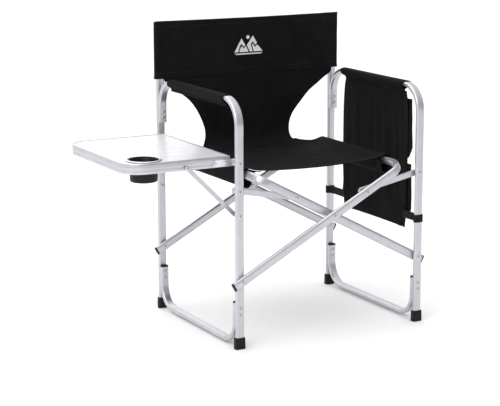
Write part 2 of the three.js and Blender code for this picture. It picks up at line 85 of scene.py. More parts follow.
@dataclass(frozen=True)
class Signal:
    """A number or colour socket that Python operators can be used on."""

    graph: "Graph"
    socket: bpy.types.NodeSocket

    def _maths(self, operation: str, *others: "Signal | float", first: bool = True) -> "Signal":
        """Adds one Math node.

        Args:
            operation: the Math node's operation.
            others: its other operands.
            first: whether this signal is the first operand.

        Returns:
            The node's result.
        """
        terms = [self, *others] if first else [*others, self]
        made = self.graph.node("ShaderNodeMath", {"operation": operation}, dict(enumerate(terms)))
        return Signal(self.graph, made.outputs[0])

    def __add__(self, other: "Signal | float") -> "Signal":
        """This plus other."""
        return self._maths("ADD", other)

    __radd__ = __add__

    def __sub__(self, other: "Signal | float") -> "Signal":
        """This minus other."""
        return self._maths("SUBTRACT", other)

    def __rsub__(self, other: "Signal | float") -> "Signal":
        """Other minus this."""
        return self._maths("SUBTRACT", other, first=False)

    def __mul__(self, other: "Signal | float") -> "Signal":
        """This times other."""
        return self._maths("MULTIPLY", other)

    __rmul__ = __mul__

    def __lt__(self, other: "Signal | float") -> "Signal":
        """1 where this is below other."""
        return self._maths("LESS_THAN", other)

    def __gt__(self, other: "Signal | float") -> "Signal":
        """1 where this is above other."""
        return self._maths("GREATER_THAN", other)

    def __mod__(self, other: float) -> "Signal":
        """The remainder on division by other, never negative."""
        return self._maths("FLOORED_MODULO", other)

    def __abs__(self) -> "Signal":
        """This without its sign."""
        return self._maths("ABSOLUTE")

    def sine(self) -> "Signal":
        """The sine of this."""
        return self._maths("SINE")

    def least(self, other: "Signal | float") -> "Signal":
        """The smaller of this and other."""
        return self._maths("MINIMUM", other)

    def most(self, other: "Signal | float") -> "Signal":
        """The larger of this and other."""
        return self._maths("MAXIMUM", other)

    def ramp(self, low: float, high: float, start: float = 0.0, end: float = 1.0) -> "Signal":
        """This eased from start at low to end at high.

        Args:
            low: value that gives start.
            high: value that gives end.
            start: lowest result.
            end: highest result.

        Returns:
            The eased number.
        """
        settings = {"interpolation_type": "SMOOTHSTEP"}
        values = {"Value": self, "From Min": low, "From Max": high, "To Min": start, "To Max": end}
        return Signal(self.graph, self.graph.node("ShaderNodeMapRange", settings, values).outputs[0])


class Graph:
    """The node tree of one new material, or of the world."""

    def __init__(self, name: str, world: bpy.types.World | None = None) -> None:
        """Starts an empty tree.

        Args:
            name: of the new material.
            world: whose tree it is instead.
        """
        self.owner = world or bpy.data.materials.new(name)
        self.owner.use_nodes = True
        self.tree = self.owner.node_tree
        self.tree.nodes.clear()

    def node(self, kind: str, settings: dict[str, Any] | None = None,
             inputs: dict[str | int, Any] | None = None) -> bpy.types.Node:
        """Adds any node.

        Args:
            kind: the node's type.
            settings: its own properties, set first.
            inputs: values, signals or sockets for its inputs, by name or index.

        Returns:
            The node.
        """
        made = self.tree.nodes.new(kind)
        for name, value in (settings or {}).items():
            setattr(made, name, value)
        for key, value in (inputs or {}).items():
            socket = made.inputs[key]
            if isinstance(value, Signal):
                value = value.socket
            if isinstance(value, bpy.types.NodeSocket):
                self.tree.links.new(value, socket)
            else:
                socket.default_value = value
        return made

    def attribute(self, name: str) -> tuple[Signal, Signal, Signal, Signal]:
        """Reads a mesh attribute.

        Args:
            name: of the attribute.

        Returns:
            Its vector, and the vector's three parts.
        """
        source = self.node("ShaderNodeAttribute", {"attribute_name": name})
        vector = source.outputs["Vector"]
        parts = self.node("ShaderNodeSeparateXYZ", inputs={0: vector})
        return (Signal(self, vector), *(Signal(self, out) for out in parts.outputs))

    def position(self) -> Signal:
        """The point's place in the object."""
        return Signal(self, self.node("ShaderNodeTexCoord").outputs["Object"])

    def stretched(self, vector: Signal, scale: tuple[float, float, float]) -> Signal:
        """The vector scaled by axis."""
        made = self.node("ShaderNodeVectorMath", {"operation": "MULTIPLY"}, {0: vector, 1: scale})
        return Signal(self, made.outputs[0])

    def noise(self, vector: Signal, scale: float, detail: float = 2.0, rough: float = 0.5) -> Signal:
        """Smooth noise from 0 to 1.

        Args:
            vector: where it is read.
            scale: how many features to a metre.
            detail: octaves.
            rough: strength of the finer octaves.

        Returns:
            The noise.
        """
        values = {"Vector": vector, "Scale": scale, "Detail": detail, "Roughness": rough}
        return Signal(self, self.node("ShaderNodeTexNoise", inputs=values).outputs["Fac"])

    def mix(self, share: Signal, low: tuple[float, float, float] | Signal,
            high: tuple[float, float, float] | Signal) -> Signal:
        """A colour between two.

        Args:
            share: 0 for low, 1 for high.
            low: the first colour.
            high: the second colour.

        Returns:
            The mixed colour.
        """
        values = {0: share}
        for index, colour in ((6, low), (7, high)):
            values[index] = colour if isinstance(colour, Signal) else (*colour, 1.0)
        made = self.node("ShaderNodeMix", {"data_type": "RGBA", "clamp_factor": True}, values)
        return Signal(self, made.outputs[2])

    def bump(self, height: Signal, distance: float, strength: float = 1.0) -> Signal:
        """A normal from a height.

        Args:
            height: the relief, from about 0 to 1.
            distance: how high 1 stands, in metres.
            strength: how much of it shows.

        Returns:
            The normal.
        """
        values = {"Height": height, "Distance": distance, "Strength": strength}
        return Signal(self, self.node("ShaderNodeBump", inputs=values).outputs[0])

    def surface(self, values: dict[str, Any]) -> bpy.types.Material:
        """Ends the tree in a Principled surface.

        Args:
            values: of the surface's inputs.

        Returns:
            The tree's material.
        """
        shader = self.node("ShaderNodeBsdfPrincipled", inputs=values)
        self.node("ShaderNodeOutputMaterial", inputs={0: shader.outputs[0]})
        return self.owner


# ---------------------------------------------------------------- finishes


@dataclass(frozen=True)
class SatinAluminium:
    """Clear-anodised tube: drawn lines along it, faint handling marks."""

    name: str = "satin_aluminium"
    light: tuple[float, float, float] = (0.6, 0.6, 0.635)
    dark: tuple[float, float, float] = (0.5, 0.5, 0.535)
    roughness: float = 0.33

    def material(self) -> bpy.types.Material:
        """Builds the node material.

        Returns:
            The material.
        """
        graph = Graph(self.name)
        vector, *_ = graph.attribute("surface")
        drawn = graph.noise(graph.stretched(vector, (2600.0, 30.0, 2600.0)), 1.0, 3.0, 0.6)
        cloud = graph.noise(vector, 26.0, 3.0)
        scuff = graph.noise(graph.stretched(vector, (90.0, 420.0, 90.0)), 1.0, 4.0, 0.7).ramp(0.63, 0.74)
        tone = (drawn * 0.35 + cloud * 0.65).ramp(0.25, 0.75)
        colour = graph.mix(tone, self.dark, self.light)
        rough = drawn * 0.14 + cloud * 0.12 + scuff * 0.12 + (self.roughness - 0.13)
        return graph.surface({
            "Base Color": graph.mix(scuff * 0.3, colour, (0.8, 0.8, 0.82)), "Metallic": 0.86,
            "Roughness": rough, "Normal": graph.bump(drawn + scuff * 0.6, 0.00004, 0.5),
        })


@dataclass(frozen=True)
class RivetSteel:
    """Zinc-plated pop rivet: a turned head with a shallow mandrel dimple painted near-black as the hole's
    shade.
    """

    name: str = "rivet_steel"
    tint: tuple[float, float, float] = (0.5, 0.5, 0.53)

    def material(self) -> bpy.types.Material:
        """Builds the node material.

        Returns:
            The material.
        """
        graph = Graph(self.name)
        vector, _, radius, _ = graph.attribute("surface")
        # Painted shade: the mandrel hole is only a shallow dimple, so it is coloured near-black to stand in
        # for the shade of a deep hole.
        hole = 1.0 - radius.ramp(0.0012, 0.0017)
        turned = (radius * 9000.0).sine() * 0.5 + 0.5
        cloud = graph.noise(vector, 900.0, 3.0)
        colour = graph.mix(cloud.ramp(0.3, 0.7), self.tint, (0.68, 0.68, 0.7))
        return graph.surface({
            "Base Color": graph.mix(hole, colour, (0.03, 0.03, 0.03)), "Metallic": 1.0,
            "Roughness": cloud * 0.25 + 0.2, "Normal": graph.bump(turned + cloud, 0.00003, 0.6),
        })


@dataclass(frozen=True)
class MouldedPlastic:
    """Black moulded plastic or rubber with a fine spark texture."""

    name: str = "moulded_plastic"
    dark: tuple[float, float, float] = (0.005, 0.005, 0.005)
    roughness: float = 0.5

    def material(self) -> bpy.types.Material:
        """Builds the node material.

        Returns:
            The material.
        """
        graph = Graph(self.name)
        place = graph.position()
        grain = graph.noise(place, 2600.0, 2.0, 0.6)
        dust = graph.noise(place, 70.0, 5.0, 0.65).ramp(0.52, 0.78)
        return graph.surface({
            "Base Color": graph.mix(dust * 0.5, self.dark, (0.02, 0.02, 0.0195)),
            "Roughness": grain * 0.2 + dust * 0.14 + (self.roughness - 0.12),
            "Specular IOR Level": 0.25, "Normal": graph.bump(grain, 0.00008, 0.5),
        })


@dataclass(frozen=True)
class WovenPolyester:
    """Black plain-weave polyester, hemmed and lock-stitched."""

    name: str = "woven_polyester"
    thread: float = 0.00075
    dark: tuple[float, float, float] = (0.0038, 0.0038, 0.0039)
    light: tuple[float, float, float] = (0.0098, 0.0098, 0.01)
    stitch_rows: tuple[float, ...] = (0.003, 0.016)
    stitch_pitch: float = 0.0038
    hem_width: float = 0.018

    def weave(self, across: Signal, along: Signal) -> Signal:
        """Height of a plain weave.

        Args:
            across: metres along one set of threads.
            along: metres along the other set.

        Returns:
            A relief from 0 to 1.
        """
        turn = math.pi / self.thread
        warp, weft = (across * turn).sine(), (along * turn).sine()
        over = (warp * weft) > 0.0
        return over * abs(warp) + (1.0 - over) * abs(weft)

    def stitches(self, edge: Signal, along: Signal) -> Signal:
        """1 on the lock stitches that run beside a hemmed edge.

        Args:
            edge: distance to the edge.
            along: distance along it.

        Returns:
            The stitches' mask.
        """
        dash = (along % self.stitch_pitch) < self.stitch_pitch * 0.72
        rows = [1.0 - abs(edge - row).ramp(0.0003, 0.0007) for row in self.stitch_rows]
        return rows[0].most(rows[1]) * dash

    def material(self) -> bpy.types.Material:
        """Builds the node material.

        Returns:
            The material.
        """
        graph = Graph(self.name)
        vector, across, along, _ = graph.attribute("surface")
        _, edge, run, _ = graph.attribute("hem")
        weave = self.weave(across, along)
        slub = graph.noise(graph.stretched(vector, (60.0, 900.0, 60.0)), 1.0, 3.0, 0.6)
        cloud = graph.noise(vector, 9.0, 4.0, 0.6)
        rub = graph.noise(vector, 34.0, 5.0, 0.7).ramp(0.55, 0.8)
        stitches = self.stitches(edge, run)
        fold = 1.0 - edge.ramp(self.hem_width - 0.0006, self.hem_width)
        # The weave term paints the crowns of the top threads lighter than the hollows between them, as
        # painted shade; cloud and slub are random tone.
        tone = (cloud * 0.55 + slub * 0.25 + weave * 0.2).ramp(0.3, 0.72)
        cloth = graph.mix(rub * 0.45, graph.mix(tone, self.dark, self.light), (0.016, 0.016, 0.0162))
        height = weave * 0.25 + slub * 0.12 + fold * 0.5 + stitches * 0.9
        return graph.surface({
            "Base Color": graph.mix(stitches * 0.6, cloth, (0.034, 0.034, 0.034)),
            "Roughness": (weave * 0.06 + cloud * 0.08 + 0.82).least(1.0),
            "Specular IOR Level": 0.06, "Sheen Weight": 0.015, "Sheen Roughness": 0.5,
            "Normal": graph.bump(height, 0.0006, 0.75),
        })


@dataclass(frozen=True)
class Webbing:
    """Black binding tape and webbing with a ribbed face."""

    name: str = "webbing"
    rib: float = 0.0011

    def material(self) -> bpy.types.Material:
        """Builds the node material.

        Returns:
            The material.
        """
        graph = Graph(self.name)
        vector, across, along, _ = graph.attribute("surface")
        ribs = abs((across * (math.pi / self.rib)).sine())
        picks = abs((along * (math.pi / 0.0006)).sine())
        cloud = graph.noise(vector, 60.0, 3.0)
        return graph.surface({
            "Base Color": graph.mix(cloud.ramp(0.3, 0.7), (0.006, 0.006, 0.006), (0.016, 0.016, 0.016)),
            "Roughness": cloud * 0.15 + 0.7, "Specular IOR Level": 0.15,
            "Normal": graph.bump(ribs * 0.7 + picks * 0.3, 0.0003, 0.8),
        })


@dataclass(frozen=True)
class LaminateBoard:
    """White laminate with a faint orange-peel and wipe marks."""

    name: str = "laminate_board"

    def material(self) -> bpy.types.Material:
        """Builds the node material.

        Returns:
            The material.
        """
        graph = Graph(self.name)
        place = graph.position()
        peel = graph.noise(place, 420.0, 2.0)
        wiped = graph.noise(graph.stretched(place, (6.0, 26.0, 6.0)), 1.0, 4.0, 0.6)
        fleck = graph.noise(place, 700.0, 2.0, 0.4).ramp(0.68, 0.76)
        colour = graph.mix(wiped.ramp(0.35, 0.7), (0.77, 0.77, 0.79), (0.69, 0.69, 0.715))
        return graph.surface({
            "Base Color": graph.mix(fleck * 0.25, colour, (0.6, 0.6, 0.62)),
            "Roughness": wiped * 0.18 + 0.2, "Coat Weight": wiped * 0.3 + 0.15,
            "Coat Roughness": 0.12, "Normal": graph.bump(peel, 0.00005, 0.5),
        })


@dataclass(frozen=True)
class SatinThread:
    """White embroidery thread laid side by side, its grooves between threads and between stitch rows painted
    darker as shade.
    """

    name: str = "satin_thread"
    pitch: float = 0.0005

    def material(self) -> bpy.types.Material:
        """Builds the node material.

        Returns:
            The material.
        """
        graph = Graph(self.name)
        vector, across, along, _ = graph.attribute("surface")
        lean = across + along * 0.7
        thread = abs((lean * (math.pi / self.pitch)).sine())
        rows = abs(((across * 0.7 - along) * (math.pi / 0.0042)).sine()).ramp(0.0, 0.3)
        fuzz = graph.noise(vector, 1500.0, 2.0)
        # Painted shade: the thread and row terms darken the grooves between threads and between stitch rows
        # below the thread crowns; the fuzz is random tone.
        tone = (thread * 0.4 + fuzz * 0.3 + rows * 0.3).ramp(0.2, 0.8)
        return graph.surface({
            "Base Color": graph.mix(tone, (0.34, 0.34, 0.35), (0.8, 0.8, 0.8)),
            "Roughness": fuzz * 0.2 + 0.4, "Normal": graph.bump(thread + rows, 0.0002, 0.8),
        })


@dataclass(frozen=True)
class PaleFloor:
    """Plain pale studio floor."""

    name: str = "pale_floor"

    def material(self) -> bpy.types.Material:
        """Builds the node material.

        Returns:
            The material.
        """
        graph = Graph(self.name)
        cloud = graph.noise(graph.position(), 1.2, 2.0)
        return graph.surface({
            "Base Color": graph.mix(cloud, (0.9, 0.9, 0.9), (0.93, 0.93, 0.93)),
            "Roughness": 0.7, "Specular IOR Level": 0.2,
        })


class Finish(Enum):
    """What a piece is finished in: the finish, and a slot name if it has one."""

    ALUMINIUM = (SatinAluminium(), "aluminium")
    TRIM = (SatinAluminium("trim_aluminium", (0.78, 0.78, 0.8), (0.7, 0.7, 0.73), 0.26), "aluminium")
    STEEL = (RivetSteel(), "steel_rivets")
    PLASTIC = (MouldedPlastic(), "black_plastic")
    RUBBER = (MouldedPlastic("foot_rubber", (0.006, 0.006, 0.006), 0.62), "black_plastic")
    CLOTH = (WovenPolyester(), "black_cloth")
    WEBBING = (Webbing(), "black_cloth")
    BOARD = (LaminateBoard(), "white_board")
    THREAD = (SatinThread(), "")


# ---------------------------------------------------------------- shapes


class Ends(Enum):
    """How the first and last rings of a loft end."""

    CAPPED = "capped"
    OPEN = "open"
    JOINED = "joined"


def rounded_outline(width: float, height: float, radius: float, steps: int = 9) -> Points:
    """Rectangle with rounded corners about the origin, counter-clockwise.

    Args:
        width: along x.
        height: along y.
        radius: of the corners.
        steps: points round each corner.

    Returns:
        The points, two numbers each.
    """
    radius = min(radius, width / 2, height / 2)
    points = []
    for corner, (x, y) in enumerate(((1, 1), (-1, 1), (-1, -1), (1, -1))):
        turn = np.linspace(0, math.pi / 2, steps) + corner * math.pi / 2
        points.append(np.stack([
            x * (width / 2 - radius) + radius * np.cos(turn),
            y * (height / 2 - radius) + radius * np.sin(turn)], axis=1))
    return np.concatenate(points)


def smooth_curve(points: Points, rounds: int = 2) -> Points:
    """Rounds an open polyline's corners, and keeps its ends.

    Args:
        points: the corners, one row each.
        rounds: how many times every corner is cut.

    Returns:
        The rounded line.
    """
    for _ in range(rounds):
        near = points[:-1] * 0.75 + points[1:] * 0.25
        far = points[:-1] * 0.25 + points[1:] * 0.75
        cut = np.stack([near, far], 1).reshape(-1, points.shape[1])
        points = np.concatenate([points[:1], cut, points[-1:]])
    return points


def resampled(points: Points, count: int) -> Points:
    """The polyline at evenly spaced places.

    Args:
        points: the line.
        count: how many points it gets.

    Returns:
        The new points.
    """
    run = np.concatenate([[0], np.cumsum(np.linalg.norm(np.diff(points, axis=0), axis=1))])
    want = np.linspace(0, run[-1], count)
    return np.stack([np.interp(want, run, points[:, k]) for k in range(points.shape[1])], axis=1)


def bent_route(corners: Sequence[tuple[float, ...]], steps: int = 14) -> tuple[Points, Points]:
    """A flat route of straights joined by round bends.

    Args:
        corners: (a, b), or (a, b, bend radius).
        steps: pieces in each bend.

    Returns:
        The stations' places and headings.
    """
    spots = [np.array(corner[:2], float) for corner in corners]
    heads = [(b - a) / np.linalg.norm(b - a) for a, b in zip(spots, spots[1:])]
    places, headings = [spots[0]], [heads[0]]
    for spot, corner, before, after in zip(spots[1:-1], corners[1:-1], heads, heads[1:]):
        turn = math.atan2(before[0] * after[1] - before[1] * after[0], before @ after)
        start = spot - before * corner[2] * math.tan(abs(turn) / 2)
        side = np.array([-before[1], before[0]]) * math.copysign(1, turn)
        for angle in np.linspace(0, turn, steps + 1):
            cos, sin = math.cos(angle), math.sin(angle)
            spin = np.array([[cos, -sin], [sin, cos]])
            places.append(start + side * corner[2] - spin @ side * corner[2])
            headings.append(spin @ before)
    return np.array([*places, spots[-1]]), np.array([*headings, heads[-1]])


def crumple(points: Points, axis: int, amount: float, size: float, seed: float) -> Points:
    """Moves points along one axis by smooth seeded noise.

    Args:
        points: the points, any shape that ends in three.
        axis: 0, 1 or 2.
        amount: greatest move, about.
        size: distance between folds.
        seed: where in the noise they are.

    Returns:
        The moved points.
    """
    moved = points.copy()
    for place in np.ndindex(points.shape[:-1]):
        x, y, z = points[place] / size
        moved[(*place, axis)] += amount * noise.fractal(Vector((x + seed, y, z)), 0.8, 2.0, 3)
    return moved


@dataclass(frozen=True)
class Plan:
    """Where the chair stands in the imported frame."""

    centre_x: float

    @classmethod
    def read(cls) -> "Plan":
        """Finds the chair's middle between its rear posts."""
        (left, _), (_, right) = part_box("left_rear_post"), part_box("right_rear_post")
        return cls((left.x + right.x) / 2 / MM)

    def row(self, points: Points) -> Points:
        """Chair millimetres as the frame's metres."""
        return (np.asarray(points, float) + (self.centre_x, 0, 0)) * MM

    def middle(self, node: str) -> tuple[float, float, float]:
        """Finds the middle of a node's box.

        Args:
            node: the node's name.

        Returns:
            The middle, in chair millimetres.
        """
        low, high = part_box(node)
        x, y, z = (low + high) / 2 / MM
        return x - self.centre_x, y, z


@dataclass
class Workshop:
    """Makes meshes, dresses them and hangs them on the frame's bodies."""

    plan: Plan
    materials: dict[Finish, bpy.types.Material] = field(default_factory=dict)
    made: list[bpy.types.Object] = field(default_factory=list)
    sharp_angle: float = math.radians(35)
    unhemmed: float = 1000.0
    plug_depth: float = 14.0

    def material(self, finish: Finish) -> bpy.types.Material:
        """Gets a finish's material, built once.

        Args:
            finish: which one.

        Returns:
            The material.
        """
        if finish not in self.materials:
            self.materials[finish] = finish.value[0].material()
        return self.materials[finish]

    def piece(self, name: str, points: Points, faces: list[tuple[int, ...]], finish: Finish,
              corners: dict[str, Points] | None = None) -> bpy.types.Object:
        """Makes one smooth-shaded mesh object.

        Args:
            name: of the piece.
            points: chair millimetres, one row each.
            faces: point indices.
            finish: what it is made of.
            corners: vectors in metres for each face corner, by attribute name.

        Returns:
            The object.
        """
        mesh = bpy.data.meshes.new(name)
        mesh.from_pydata(self.plan.row(points).tolist(), [], faces)
        for title, values in (corners or {}).items():
            attribute = mesh.attributes.new(title, "FLOAT_VECTOR", "CORNER")
            attribute.data.foreach_set("vector", np.asarray(values, np.float32).ravel())
        self.tidy(mesh)
        return self.dressed(name, mesh, finish)

    def tidy(self, mesh: bpy.types.Mesh) -> None:
        """Turns every face outward, and shades the mesh smooth but for its sharp edges.

        Args:
            mesh: the mesh.
        """
        work = bmesh.new()
        work.from_mesh(mesh)
        bmesh.ops.recalc_face_normals(work, faces=work.faces)
        work.to_mesh(mesh)
        work.free()
        mesh.shade_smooth()
        mesh.set_sharp_from_angle(angle=self.sharp_angle)

    def dressed(self, name: str, mesh: bpy.types.Mesh, finish: Finish) -> bpy.types.Object:
        """Puts the mesh in the scene with its finish.

        Args:
            name: of the piece.
            mesh: its mesh, in metres.
            finish: what it is made of.

        Returns:
            The object.
        """
        thing = bpy.data.objects.new(name, mesh)
        bpy.context.scene.collection.objects.link(thing)
        mesh.materials.append(self.material(finish))
        self.made.append(thing)
        return thing

    def grid(self, name: str, rings: Points, finish: Finish, ends: Ends = Ends.CAPPED,
             around: bool = True, hems: str = "") -> bpy.types.Object:
        """Skins rows of points.

        Args:
            name: of the piece.
            rings: rows of points, in chair millimetres.
            finish: what it is made of.
            ends: how the first and last rows end.
            around: whether each row is a closed ring.
            hems: hemmed sides of a sheet, letters of "ab" for the first and last row and
                "lr" for the first and last point of each row.

        Returns:
            The object.
        """
        count, size = rings.shape[:2]
        ring = np.concatenate([rings, rings[:, :1]], axis=1) if around else rings
        across = np.concatenate([np.zeros((count, 1)), np.cumsum(
            np.linalg.norm(np.diff(ring, axis=1), axis=2), axis=1)], axis=1)
        total = across[:, -1:].copy()
        if not around:
            across -= total / 2
        steps = np.linalg.norm(np.diff(ring, axis=0), axis=2)
        along = np.concatenate([np.zeros((1, ring.shape[1])), np.cumsum(steps, axis=0)])
        surface = np.stack([across, along, np.zeros_like(across)], axis=2) * MM
        edge, run = np.full_like(across, self.unhemmed), across
        for side, distance, beside in (
                ("a", along, across), ("b", along[-1:] - along, across),
                ("l", across - across[:, :1], along), ("r", across[:, -1:] - across, along)):
            if side in hems:
                run = np.where(distance < edge, beside, run)
                edge = np.minimum(edge, distance)
        hem = np.stack([edge, run, np.zeros_like(edge)], axis=2) * MM
        faces, picks = [], []
        last = count if ends is Ends.JOINED else count - 1
        for i in range(last):
            k = (i + 1) % count
            for j in range(ring.shape[1] - 1):
                n = (j + 1) % size
                faces.append((i * size + j, i * size + n, k * size + n, k * size + j))
                picks.extend(((i, j), (i, j + 1), (k, j + 1), (k, j)))
        if ends is Ends.CAPPED:
            for i in (0, count - 1):
                faces.append(tuple(range(i * size, (i + 1) * size)))
                picks.extend((i, j) for j in range(size))
        rows, columns = np.array(picks).T
        return self.piece(name, rings.reshape(-1, 3), faces, finish,
                          {"surface": surface[rows, columns], "hem": hem[rows, columns]})

    def tube(self, name: str, corners: Sequence[tuple[float, ...]], origin: Sequence[float],
             first: Sequence[float], second: Sequence[float], section: tuple[float, float],
             wall: float, finish: Finish) -> bpy.types.Object:
        """Sweeps a hollow flat-oval tube, its long way square to the route's plane.

        Args:
            name: of the piece.
            corners: the route, in its plane.
            origin: the plane's origin.
            first: the plane's first axis.
            second: the plane's second axis.
            section: the tube's long way and short way.
            wall: its thickness.
            finish: what it is made of.

        Returns:
            The object.
        """
        places, headings = bent_route(corners)
        one, two = np.array(first, float), np.array(second, float)
        normal = np.cross(one, two)
        outer = rounded_outline(*section, section[1] / 2)
        inner = rounded_outline(section[0] - 2 * wall, section[1] - 2 * wall, section[1])
        edge = rounded_outline(section[0] - 0.6, section[1] - 0.6, section[1])

        def ring(place: Points, heading: Points, shape: Points, back: float = 0.0) -> Points:
            """Places one ring of the tube.

            Args:
                place: the station's place in the route's plane.
                heading: the way that the route goes there.
                shape: the ring's outline.
                back: how far it is moved along the heading.

            Returns:
                The ring's points.
            """
            spot = place + heading * back
            sideways = np.array([-heading[1], heading[0]])
            centre = np.array(origin) + spot[0] * one + spot[1] * two
            across = sideways[0] * one + sideways[1] * two
            return centre + shape[:, :1] * normal + shape[:, 1:] * across

        start, end = (places[0], headings[0]), (places[-1], headings[-1])
        deep = self.plug_depth
        rings = [ring(*start, inner, deep), ring(*start, inner), ring(*start, edge), ring(*start, outer, 0.4)]
        rings += [ring(p, h, outer) for p, h in zip(places[1:-1], headings[1:-1])]
        rings += [ring(*end, outer, -0.4), ring(*end, edge), ring(*end, inner), ring(*end, inner, -deep)]
        return self.grid(name, np.array(rings), finish)

    def lathe(self, name: str, profile: Sequence[tuple[float, float]], centre: Sequence[float],
              axis: str, finish: Finish, segments: int = 28, ends: Ends = Ends.CAPPED) -> bpy.types.Object:
        """Turns a profile about an axis.

        Args:
            name: of the piece.
            profile: (radius, place along the axis) pairs.
            centre: where the axis starts, in chair millimetres.
            axis: "y" or "z".
            finish: what it is made of.
            segments: sides.
            ends: how the profile's two ends close.

        Returns:
            The object.
        """
        turn = np.arange(segments) / segments * 2 * math.pi
        rings = []
        for radius, along in profile:
            a, b = max(radius, 0.02) * np.cos(turn), max(radius, 0.02) * np.sin(turn)
            shift = np.full(segments, along)
            rings.append(np.stack([a, shift, b] if axis == "y" else [a, b, shift], axis=1))
        made = self.grid(name, np.array(rings) + np.asarray(centre, float), finish, ends)
        radii = np.linalg.norm(
            np.array([v.co for v in made.data.vertices])[:, [0, 2 if axis == "y" else 1]]
            - self.plan.row(centre)[[0, 2 if axis == "y" else 1]], axis=1)
        owner = np.zeros(len(made.data.loops), int)
        made.data.loops.foreach_get("vertex_index", owner)
        surface = made.data.attributes["surface"]
        values = np.zeros(len(owner) * 3, np.float32)
        surface.data.foreach_get("vector", values)
        values = values.reshape(-1, 3)
        values[:, 1] = radii[owner]
        surface.data.foreach_set("vector", values.ravel())
        return made

    def plate(self, name: str, outlines: Sequence[Points], thick: float, bevel: float,
              origin: Sequence[float], first: Sequence[float], second: Sequence[float],
              finish: Finish) -> bpy.types.Object:
        """Cuts a plate with softened edges.

        Args:
            name: of the piece.
            outlines: its outline, then any holes, in its own plane.
            thick: its thickness, half on each side of the plane.
            bevel: of its edges.
            origin: the plane's origin.
            first: the plane's first axis.
            second: the plane's second axis.
            finish: what it is made of.

        Returns:
            The object.
        """
        curve = bpy.data.curves.new(name, "CURVE")
        curve.dimensions, curve.fill_mode = "2D", "BOTH"
        curve.extrude, curve.bevel_depth = thick / 2 - bevel, bevel
        curve.bevel_resolution, curve.offset = 2, -bevel
        for outline in outlines:
            spline = curve.splines.new("POLY")
            spline.points.add(len(outline) - 1)
            spline.points.foreach_set("co", np.pad(outline, ((0, 0), (0, 2))).ravel())
            spline.use_cyclic_u = True
        holder = bpy.data.objects.new(name + "_curve", curve)
        bpy.context.scene.collection.objects.link(holder)
        bpy.context.view_layer.update()
        mesh = bpy.data.meshes.new_from_object(holder.evaluated_get(bpy.context.evaluated_depsgraph_get()))
        bpy.data.objects.remove(holder)
        local = np.array([v.co for v in mesh.vertices], float)
        one, two = np.array(first, float), np.array(second, float)
        placed = np.array(origin) + local @ np.array([one, two, np.cross(one, two)])
        mesh.vertices.foreach_set("co", self.plan.row(placed).astype(np.float32).ravel())
        owner = np.zeros(len(mesh.loops), int)
        mesh.loops.foreach_get("vertex_index", owner)
        attribute = mesh.attributes.new("surface", "FLOAT_VECTOR", "CORNER")
        attribute.data.foreach_set("vector", (local[owner][:, [1, 0, 2]] * MM).astype(np.float32).ravel())
        mesh.materials.clear()
        self.tidy(mesh)
        return self.dressed(name, mesh, finish)

    def thicken(self, thing: bpy.types.Object, thick: float) -> bpy.types.Object:
        """Gives a sheet its thickness, half on each side.

        Args:
            thing: the sheet.
            thick: its thickness, in millimetres.

        Returns:
            The sheet.
        """
        solid = thing.modifiers.new("cloth_thickness", "SOLIDIFY")
        solid.thickness, solid.offset = thick * MM, 0.0
        return thing

    def relax(self, thing: bpy.types.Object, held: Callable[[Vector], float], frames: int,
              gravity: float, cap: float, slack: float = 0.0) -> None:
        """Lets a sheet settle as cloth under its own weight.

        Args:
            thing: the sheet, before it is thickened.
            held: 1 where a point, in chair millimetres, is sewn down, and less where it isn't.
            frames: how long it settles.
            gravity: share of the real weight.
            cap: furthest that a point may move, in millimetres.
            slack: share that the cloth is longer than its shape.
        """
        before = np.array([v.co for v in thing.data.vertices])
        sewn = thing.vertex_groups.new(name="sewn")
        for vertex in thing.data.vertices:
            spot = vertex.co / MM - Vector((self.plan.centre_x, 0, 0))
            sewn.add([vertex.index], min(1.0, max(0.0, held(spot))), "REPLACE")
        cloth = thing.modifiers.new("settling", "CLOTH")
        settings = cloth.settings
        settings.quality, settings.mass, settings.air_damping = 6, 0.25, 2.0
        settings.tension_stiffness = settings.compression_stiffness = 30.0
        settings.shear_stiffness, settings.bending_stiffness = 12.0, 1.2
        settings.vertex_group_mass, settings.shrink_min = "sewn", -slack
        settings.effector_weights.gravity = gravity
        cloth.point_cache.frame_start, cloth.point_cache.frame_end = 1, frames
        scene = bpy.context.scene
        for frame in range(1, frames + 1):
            scene.frame_set(frame)
        settled = thing.evaluated_get(bpy.context.evaluated_depsgraph_get())
        after = np.array([v.co for v in settled.data.vertices])
        thing.modifiers.remove(cloth)
        thing.vertex_groups.clear()
        scene.frame_set(1)
        move = after - before
        length = np.linalg.norm(move, axis=1, keepdims=True)
        limit = cap * MM
        move *= np.where(length > 1e-9, limit * np.tanh(length / limit) / np.maximum(length, 1e-9), 0.0)
        thing.data.vertices.foreach_set("co", (before + move).astype(np.float32).ravel())
        thing.data.update()
        log.info("%s settled by up to %.1f mm", thing.name, float(np.abs(move).max() / MM))

    def hang(self, thing: bpy.types.Object, body: str, *nodes: str) -> bpy.types.Object:
        """Makes a finished piece ride on a body, in place of the named nodes.

        Args:
            thing: the piece.
            body: what it moves with.
            nodes: the frame's nodes that it stands for.

        Returns:
            The piece.
        """
        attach(thing, body)
        if nodes:
            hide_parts(*nodes)
        return thing


# ---------------------------------------------------------------- metal frame


